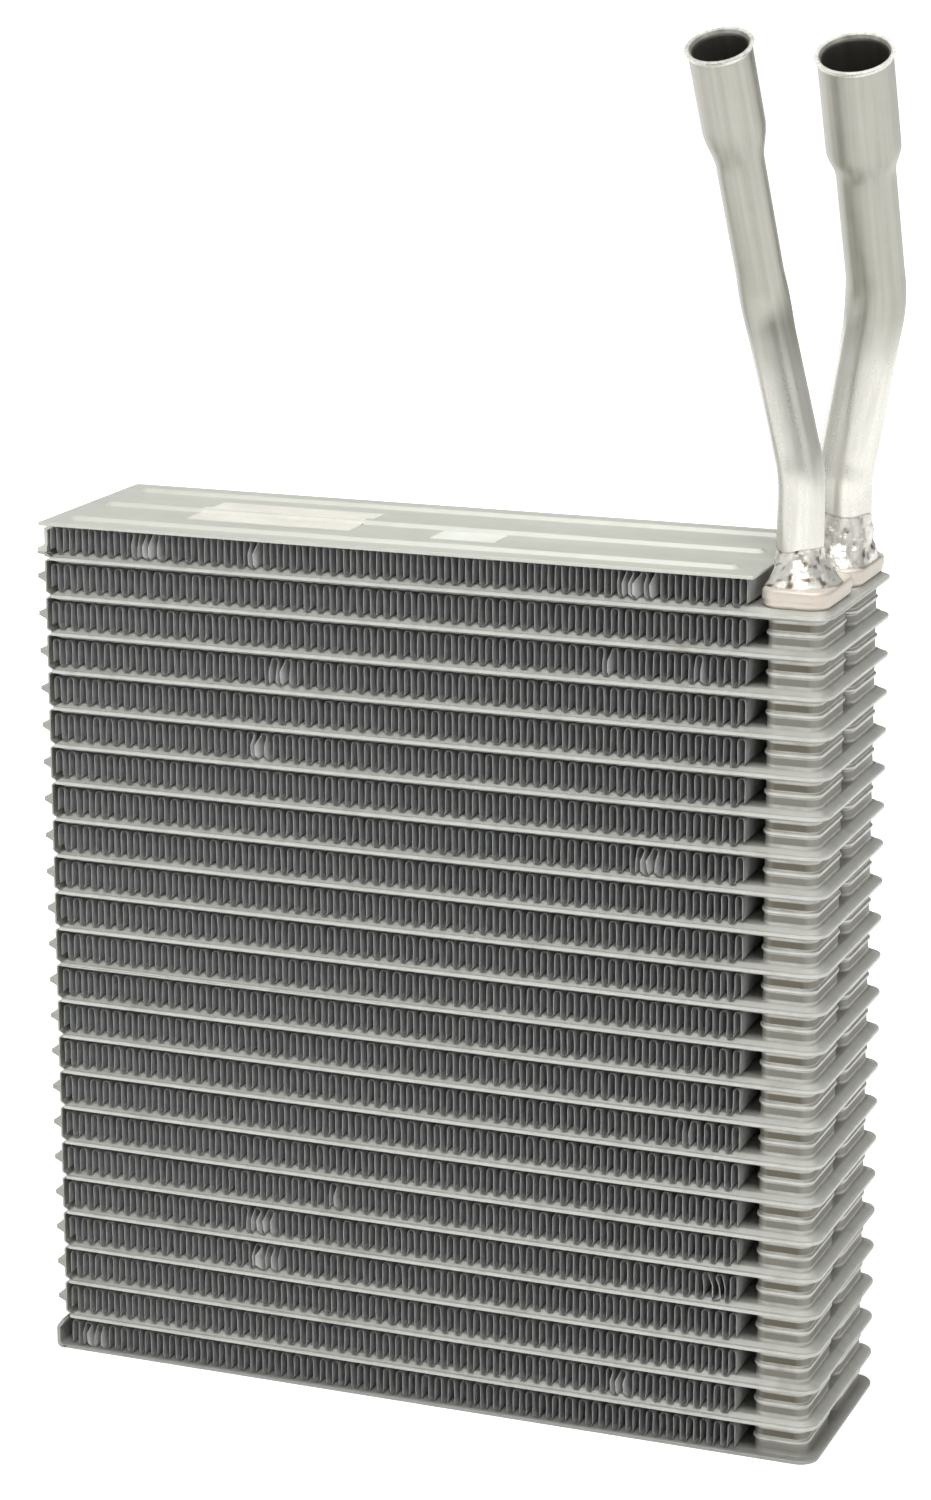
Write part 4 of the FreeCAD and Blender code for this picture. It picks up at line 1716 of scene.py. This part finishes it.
    @staticmethod
    def _find(stretches: list[Stretch], station: float) -> tuple:
        """Finds the place, the heading, how far into a bend it is, and the bend's axis."""
        for stretch in stretches:
            if station <= stretch.length or stretch is stretches[-1]:
                point, heading = stretch.at(station)
                share = min(station / stretch.length, 1.0)
                bend = 0.0 if stretch.axis is None else math.sin(math.pi * share)
                return point, heading, bend, stretch.axis
            station -= stretch.length
        raise ValueError("no stretch holds the station")

    def _highlight_and_polish(self, station: float, total: float) -> float:
        """Gives how much brighter the pipe is made: at its lip, and below its kink as a painted
        highlight.
        """
        lip = 1.0 if total - station < self.lip_flare * self.lip_bright else 0.0
        zone = within_one((self.highlight_to - station) / self.highlight_fade)
        return max(lip, self.foot_highlight * zone)


@dataclass
class TankCaps:
    """The pressed caps over the tanks, and the beads of filler metal under them."""

    stamping: Stamping = field(default_factory=Stamping)
    sheet: float = 1.2
    overhang: float = 1.8
    edge_round: float = 1.0
    crown: float = 2.4
    # A painted highlight on the crown and its rounded edge.
    crown_highlight: float = 0.2
    bore_sides: int = 32

    # The bead under the skirt, which gets a painted highlight.
    bead_reach: float = 1.5
    bead_foot: float = 0.75
    bead_toe_round: float = 0.4
    bead_round: float = 0.7
    bead_sink: float = 0.3
    bead_steps: int = 4
    bead_highlight: float = 0.3
    gap: float = 0.02

    def pressing(self, node: str, pipe: Pipe) -> Shell:
        """Builds one cap, bored for its pipe.

        Args:
            node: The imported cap.
            pipe: The pipe that stands on it.

        Returns:
            The cap's shell.
        """
        low, high = box_mm(node)
        corner = self.stamping.cup_corner + self.overhang
        outline = Outline(low.x, high.x, low.y, high.y, (corner,) * 4)
        shell = Shell()
        outside = [(0.0, low.z, 0.0), (0.0, high.z, self.edge_round), (self.crown, high.z, 0.0)]
        crown = shell.rings(outline, rounded_path(outside), PaintedLightAndWear(highlight_and_polish=self.crown_highlight))
        ceiling = high.z - self.sheet
        pocket = [(self.overhang, ceiling), (self.overhang, low.z)]
        hollow = shell.rings(outline, pocket)
        shell.bridge(hollow[-1], crown[0])
        foot = pipe.foot_point()
        bore = pipe.diameter / 2 - pipe.wall
        holes = []
        circle = unit_circle(self.bore_sides)
        for height in (high.z, ceiling):
            ring = [Vector((foot.x + bore * x, foot.y + bore * y, height)) for x, y in circle]
            holes.append(shell.loop(ring))
        shell.fill(crown[-1], [holes[0]])
        shell.fill(hollow[0], [holes[1]])
        shell.bridge(holes[0], holes[1])
        return shell

    def bead(self, node: str) -> Shell:
        """Builds the bead of filler metal that fills the corner under a cap's skirt.

        Args:
            node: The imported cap.

        Returns:
            The bead's shell, a closed ring round the tank.
        """
        low, high = box_mm(node)
        grow = self.overhang
        corner = (self.stamping.cup_corner,) * 4
        cup = Outline(low.x + grow, high.x - grow, low.y + grow, high.y - grow, corner)
        tube_low, tube_high = box_mm("tube_01")
        foot = (tube_low.z + tube_high.z) / 2 + self.stamping.tube_half
        shell = Shell()
        reach = self.bead_reach
        section = [
            (self.bead_sink, foot + self.gap, 0.0),
            (-reach / 2, foot + self.gap, self.bead_toe_round),
            (-reach, foot + self.bead_foot, self.bead_round),
            (-reach, low.z + self.gap, 0.0),
            (self.bead_sink, low.z + self.gap, 0.0),
        ]
        rings = shell.rings(cup, rounded_path(section, self.bead_steps), PaintedLightAndWear(highlight_and_polish=self.bead_highlight))
        shell.bridge(rings[-1], rings[0])
        return shell

    def build(self, workshop: Workshop, pipes: dict[str, Pipe]) -> None:
        """Builds and dresses both caps and their beads."""
        for node, pipe in pipes.items():
            workshop.dress(self.pressing(node, pipe).build(node + "_pressing"), CAP_FINISH, node)
            workshop.dress(self.bead(node).build(node + "_braze_bead"), CAP_FINISH)


@dataclass
class BrazeFillet:
    """The lumpy collar of filler metal at a pipe's foot."""

    pipe: Pipe
    flare: float
    height: float
    lumps: float
    seed: float
    sides: int = 72
    rows: int = 20
    smooth: float = math.radians(75)

    # How the collar hugs the pipe and spreads on the cap.
    buried: float = 0.5
    buried_height: float = 0.3
    sink: float = 0.05
    clearance: float = 0.06
    least_clearance: float = 0.04
    curve: float = 1.8
    edge_margin: float = 0.3

    # Its uneven upper edge and its lumps.
    height_share: float = 0.90
    height_waver: float = 0.16
    waver_scale: float = 0.8
    lump_scale: tuple[float, float] = (2.2, 2.5)
    fine_lumps: float = 0.35
    fine_scale: float = 2.2

    # Brown spots of burnt flux.
    edge_stain: float = 0.5
    spot_scale: float = 2.1
    spot_threshold: float = 0.28
    spot_contrast: float = 5.0

    def _spread(self, foot: Vector, arm: Vector) -> float:
        """Gives how far the filler metal has spread on the cap, within the cap's edge.

        Args:
            foot: Middle of the pipe's foot.
            arm: Direction outwards from it.

        Returns:
            The distance from the pipe's wall.
        """
        low, high = box_mm(self.pipe.cap_node)
        rooms = [self.flare + self.pipe.diameter / 2]
        parallel = 0.01
        for axis in (0, 1):
            side = high[axis] if arm[axis] > 0 else low[axis]
            if abs(arm[axis]) > parallel:
                rooms.append((side - foot[axis]) / arm[axis] - self.edge_margin)
        return min(rooms) - self.pipe.diameter / 2

    def _point(self, foot: Vector, arm: Vector, row: int) -> tuple[Vector, PaintedLightAndWear]:
        """Finds one point of the lumpy surface.

        Args:
            foot: Middle of the pipe's foot.
            arm: Direction outwards from it.
            row: Number of the point's row, from the cap up.

        Returns:
            The point, and how brazing has stained it.
        """
        bare = self.pipe.diameter / 2
        share = row / self.rows
        around, upward = self.lump_scale
        waver = noise.noise(arm * self.waver_scale + Vector((0.0, 0.0, self.seed)))
        reach = self.height * (self.height_share + self.height_waver * waver)
        spot = Vector((arm.x * around, arm.y * around, share * upward + self.seed))
        rough = noise.noise(spot) + self.fine_lumps * noise.noise(spot * self.fine_scale)
        bulge = rough * self.lumps * math.sin(math.pi * share)
        spread = self._spread(foot, arm) * (1.0 - share) ** self.curve
        radius = max(bare + self.clearance + spread + bulge, bare + self.least_clearance)
        burnt = (noise.noise(spot * self.spot_scale) - self.spot_threshold) * self.spot_contrast
        border = self.edge_stain if row in (0, self.rows) else 0.0
        point = foot + arm * radius + Vector((0.0, 0.0, reach * share - self.sink))
        return point, PaintedLightAndWear(darkening=min(max(burnt, border), 1.0))

    def build(self, workshop: Workshop) -> None:
        """Builds the collar as a closed ring round the pipe and dresses it."""
        foot = self.pipe.foot_point()
        arms = [Vector((cosine, sine, 0.0)) for cosine, sine in unit_circle(self.sides)]
        shell = Shell()
        rings = []
        for row in range(self.rows + 1):
            ring = []
            for arm in arms:
                point, painted_light_and_wear = self._point(foot, arm, row)
                ring += shell.loop([point], painted_light_and_wear)
            rings.append(ring)
        hidden = self.pipe.diameter / 2 - self.buried
        for height in (self.height * self.buried_height, -self.sink):
            rise = Vector((0.0, 0.0, height))
            rings.append(shell.loop([foot + arm * hidden + rise for arm in arms]))
        for first, second in zip(rings, rings[1:] + rings[:1]):
            shell.bridge(first, second)
        name = self.pipe.name.replace("_pipe", "_braze_fillet")
        workshop.dress(shell.build(name, self.smooth), BRAZE_FINISH)


@dataclass
class BareLabels:
    """The bare paper label and sticker on the top end plate."""

    plates: EndPlates
    rows: int = 26
    columns: int = 14
    drape: float = 0.62
    fullness: float = 1.12

    def sheet(self, node: str, over_rib: bool) -> Shell:
        """Builds one sheet of paper, laid over the plate.

        Args:
            node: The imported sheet.
            over_rib: Whether it passes over the middle rib.

        Returns:
            The paper's shell.
        """
        low, high = box_mm(node)
        rib_rise = self.plates.rib_rise if over_rib else 0.0
        paper = high.z - low.z - rib_rise
        shell = Shell()
        width = high - low
        edges = []
        for layer in (paper, 0.0):
            rows = []
            for row in range(self.rows + 1):
                y = low.y + width.y * row / self.rows
                near = max(1.0 - abs(y) / (self.plates.rib_width * self.drape), 0.0)
                z = low.z + layer + rib_rise * min(eased(near) * self.fullness, 1.0)
                shares = [column / self.columns for column in range(self.columns + 1)]
                rows.append(shell.loop([Vector((low.x + width.x * share, y, z)) for share in shares]))
            for first, second in zip(rows, rows[1:]):
                for here in range(self.columns):
                    there = here + 1
                    shell.faces.append((first[here], first[there], second[there], second[here]))
            edges.append(self._rim(rows))
        shell.bridge(*edges)
        return shell

    @staticmethod
    def _rim(rows: list[list[int]]) -> list[int]:
        """Gives the border of a sheet's rows, once round."""
        right = [row[-1] for row in rows[1:]]
        left = [row[0] for row in rows[1:-1]]
        return rows[0] + right + rows[-1][-2::-1] + left[::-1]

    def build(self, workshop: Workshop) -> None:
        """Builds and dresses both sheets."""
        label = self.sheet("blank_label", True).build("label_sheet")
        sticker = self.sheet("blank_sticker", False).build("sticker_sheet")
        workshop.dress(label, LABEL_FINISH, "blank_label")
        workshop.dress(sticker, STICKER_FINISH, "blank_sticker")


@dataclass(frozen=True)
class Lamp:
    """A soft square light that points at the object."""

    name: str
    place: tuple[float, float, float]
    size: float
    power: float


@dataclass
class Studio:
    """The pale floor, the soft lights and the camera. Sizes are in metres."""

    # The floor is shaded near the object and white further off.
    floor_reach: float = 30.0
    floor_colour: Colour = (0.86, 0.86, 0.86, 1.0)
    floor_glow: tuple[float, float] = (0.50, 1.0)
    glow_from: float = 0.15
    glow_to: float = 0.8

    # Lamps, and the strength of the light from all round, from the horizon up.
    target: tuple[float, float, float] = (0.0, 0.0, 0.15)
    lamps: tuple[Lamp, ...] = (
        Lamp("key", (0.35, -1.15, 1.95), 0.8, 24.0),
        Lamp("overhead", (0.1, 0.1, 1.9), 1.6, 19.0),
        Lamp("right", (1.6, -1.0, 0.9), 1.2, 2.5),
        Lamp("left", (-1.3, -1.2, 0.9), 1.0, 3.0),
        Lamp("back", (-1.8, 1.2, 0.7), 1.2, 6.0),
    )
    sky: tuple[float, float] = (0.165, 0.374)
    sky_heights: tuple[float, float] = (-0.1, 0.9)

    # The camera, solved from the edges of the tubes in the photograph.
    camera_place: tuple[float, float, float] = (0.3846, -0.97886, 0.45686)
    azimuth: float = 21.365
    elevation: float = 13.547
    roll: float = -0.136
    focal_pixels: float = 3840.5
    centre_row: float = 690.0
    sensor: float = 36.0
    view_range: tuple[float, float] = (0.01, 200.0)

    def floor(self) -> None:
        """Lays the floor, white to the camera and in reflections, with the object's shadow on it."""
        reach = self.floor_reach
        mesh = bpy.data.meshes.new("floor")
        signs = ((-1, -1), (1, -1), (1, 1), (-1, 1))
        mesh.from_pydata([(x * reach, y * reach, 0.0) for x, y in signs], [], [(0, 1, 2, 3)])
        floor = place_object("floor", mesh)
        material = bpy.data.materials.new("pale_floor")
        wiring = empty_wiring(material)
        place = wiring.add("ShaderNodeTexCoord").outputs["Object"]
        away = wiring.add("ShaderNodeVectorMath", {0: place}, operation="LENGTH").outputs["Value"]
        white = wiring.ranged(away, (self.glow_from, self.glow_to), self.floor_glow)
        glow = wiring.math("MULTIPLY", self._seen(wiring), white)
        matte = wiring.add("ShaderNodeBsdfDiffuse", {"Color": self.floor_colour})
        light = wiring.add("ShaderNodeEmission", {"Strength": glow})
        both = wiring.add("ShaderNodeAddShader", {0: matte.outputs[0], 1: light.outputs[0]})
        wiring.add("ShaderNodeOutputMaterial", {"Surface": both.outputs[0]})
        mesh.materials.append(material)

    @staticmethod
    def _seen(wiring: Wiring) -> bpy.types.NodeSocket:
        """Gives 1 for what the camera sees, directly or in a reflection or through glass."""
        path = wiring.add("ShaderNodeLightPath").outputs
        direct = wiring.math("MAXIMUM", path["Is Camera Ray"], path["Is Glossy Ray"])
        return wiring.math("MAXIMUM", direct, path["Is Transmission Ray"])

    def world(self) -> None:
        """Sets the soft light from all round, and a pale tone where the camera sees past the floor."""
        world = bpy.data.worlds.new("studio")
        wiring = empty_wiring(world)
        path = wiring.add("ShaderNodeLightPath").outputs
        direction = wiring.add("ShaderNodeTexCoord").outputs["Generated"]
        split = wiring.add("ShaderNodeSeparateXYZ", {0: direction}).outputs
        upward = wiring.ranged(split["Z"], self.sky_heights, self.sky)
        strength = wiring.math("MAXIMUM", upward, path["Is Camera Ray"])
        light = wiring.add("ShaderNodeBackground", {"Strength": strength})
        wiring.add("ShaderNodeOutputWorld", {"Surface": light.outputs[0]})
        bpy.context.scene.world = world

    def light(self) -> None:
        """Sets up the lamps."""
        for lamp in self.lamps:
            data = bpy.data.lights.new(lamp.name, "AREA")
            data.size = lamp.size
            data.energy = lamp.power
            light = place_object(lamp.name, data)
            light.location = lamp.place
            toward = Vector(self.target) - Vector(lamp.place)
            light.rotation_euler = toward.to_track_quat("-Z", "Y").to_euler()

    def camera(self) -> None:
        """Sets the camera at the photograph's viewing angle."""
        azimuth = math.radians(self.azimuth)
        elevation = math.radians(self.elevation)
        roll = math.radians(self.roll)
        level = Vector((math.cos(azimuth), math.sin(azimuth), 0.0))
        ahead = Vector((-math.sin(azimuth), math.cos(azimuth), 0.0))
        forward = ahead * math.cos(elevation) - Vector((0.0, 0.0, math.sin(elevation)))
        upright = level.cross(forward)
        right = level * math.cos(roll) + upright * math.sin(roll)
        up = upright * math.cos(roll) - level * math.sin(roll)
        turn = Matrix((right, up, -forward)).transposed().to_4x4()
        data = bpy.data.cameras.new("photo_view")
        data.sensor_width = self.sensor
        data.lens = self.focal_pixels * self.sensor / PHOTO_HEIGHT
        data.shift_y = (self.centre_row - PHOTO_HEIGHT / 2) / PHOTO_HEIGHT
        data.clip_start, data.clip_end = self.view_range
        camera = place_object("photo_view", data)
        camera.matrix_world = Matrix.Translation(self.camera_place) @ turn
        bpy.context.scene.camera = camera

    def build(self) -> None:
        """Sets up everything round the object."""
        self.floor()
        self.world()
        self.light()
        self.camera()
        bpy.context.scene.view_settings.view_transform = "Standard"


INLET_PIPE = Pipe(
    name="inlet_pipe",
    cap_node="inlet_cap",
    foot=(-2.1, -0.4),
    runs=((0.0, 0.0, 29.0), (-12.0, 3.5, 45.0), (-2.4, -35.0, 68.7)),
    diameter=12.7,
    wall=1.2,
    bell_diameter=16.5,
    bell_length=23.4,
    taper=11.0,
    bend_radius=28.0,
    lip_diameter=18.0,
)
OUTLET_PIPE = Pipe(
    name="outlet_pipe",
    cap_node="outlet_cap",
    foot=(0.7, -1.2),
    runs=((0.0, 0.0, 23.0), (7.4, 3.5, 48.0), (1.7, -34.0, 68.2)),
    diameter=15.875,
    wall=1.3,
    bell_diameter=19.8,
    bell_length=28.0,
    taper=7.0,
    bend_radius=32.0,
    lip_diameter=21.3,
)


def main() -> None:
    """Builds each sub-assembly in order and reports it."""
    logging.basicConfig(level=logging.INFO, format="%(name)s: %(message)s")
    workshop = Workshop()
    pipes = {"inlet_cap": INLET_PIPE, "outlet_cap": OUTLET_PIPE}
    plates = EndPlates()
    Studio().build()
    TubeStack().build(workshop)
    FinStack().build(workshop)
    plates.build(workshop)
    TankCaps().build(workshop, pipes)
    for pipe in pipes.values():
        pipe.build(workshop)
    BrazeFillet(INLET_PIPE, flare=5.2, height=10.5, lumps=1.0, seed=3.0).build(workshop)
    BrazeFillet(OUTLET_PIPE, flare=4.6, height=15.0, lumps=1.8, seed=8.0).build(workshop)
    BareLabels(plates).build(workshop)


if __name__ == "__main__":
    main()
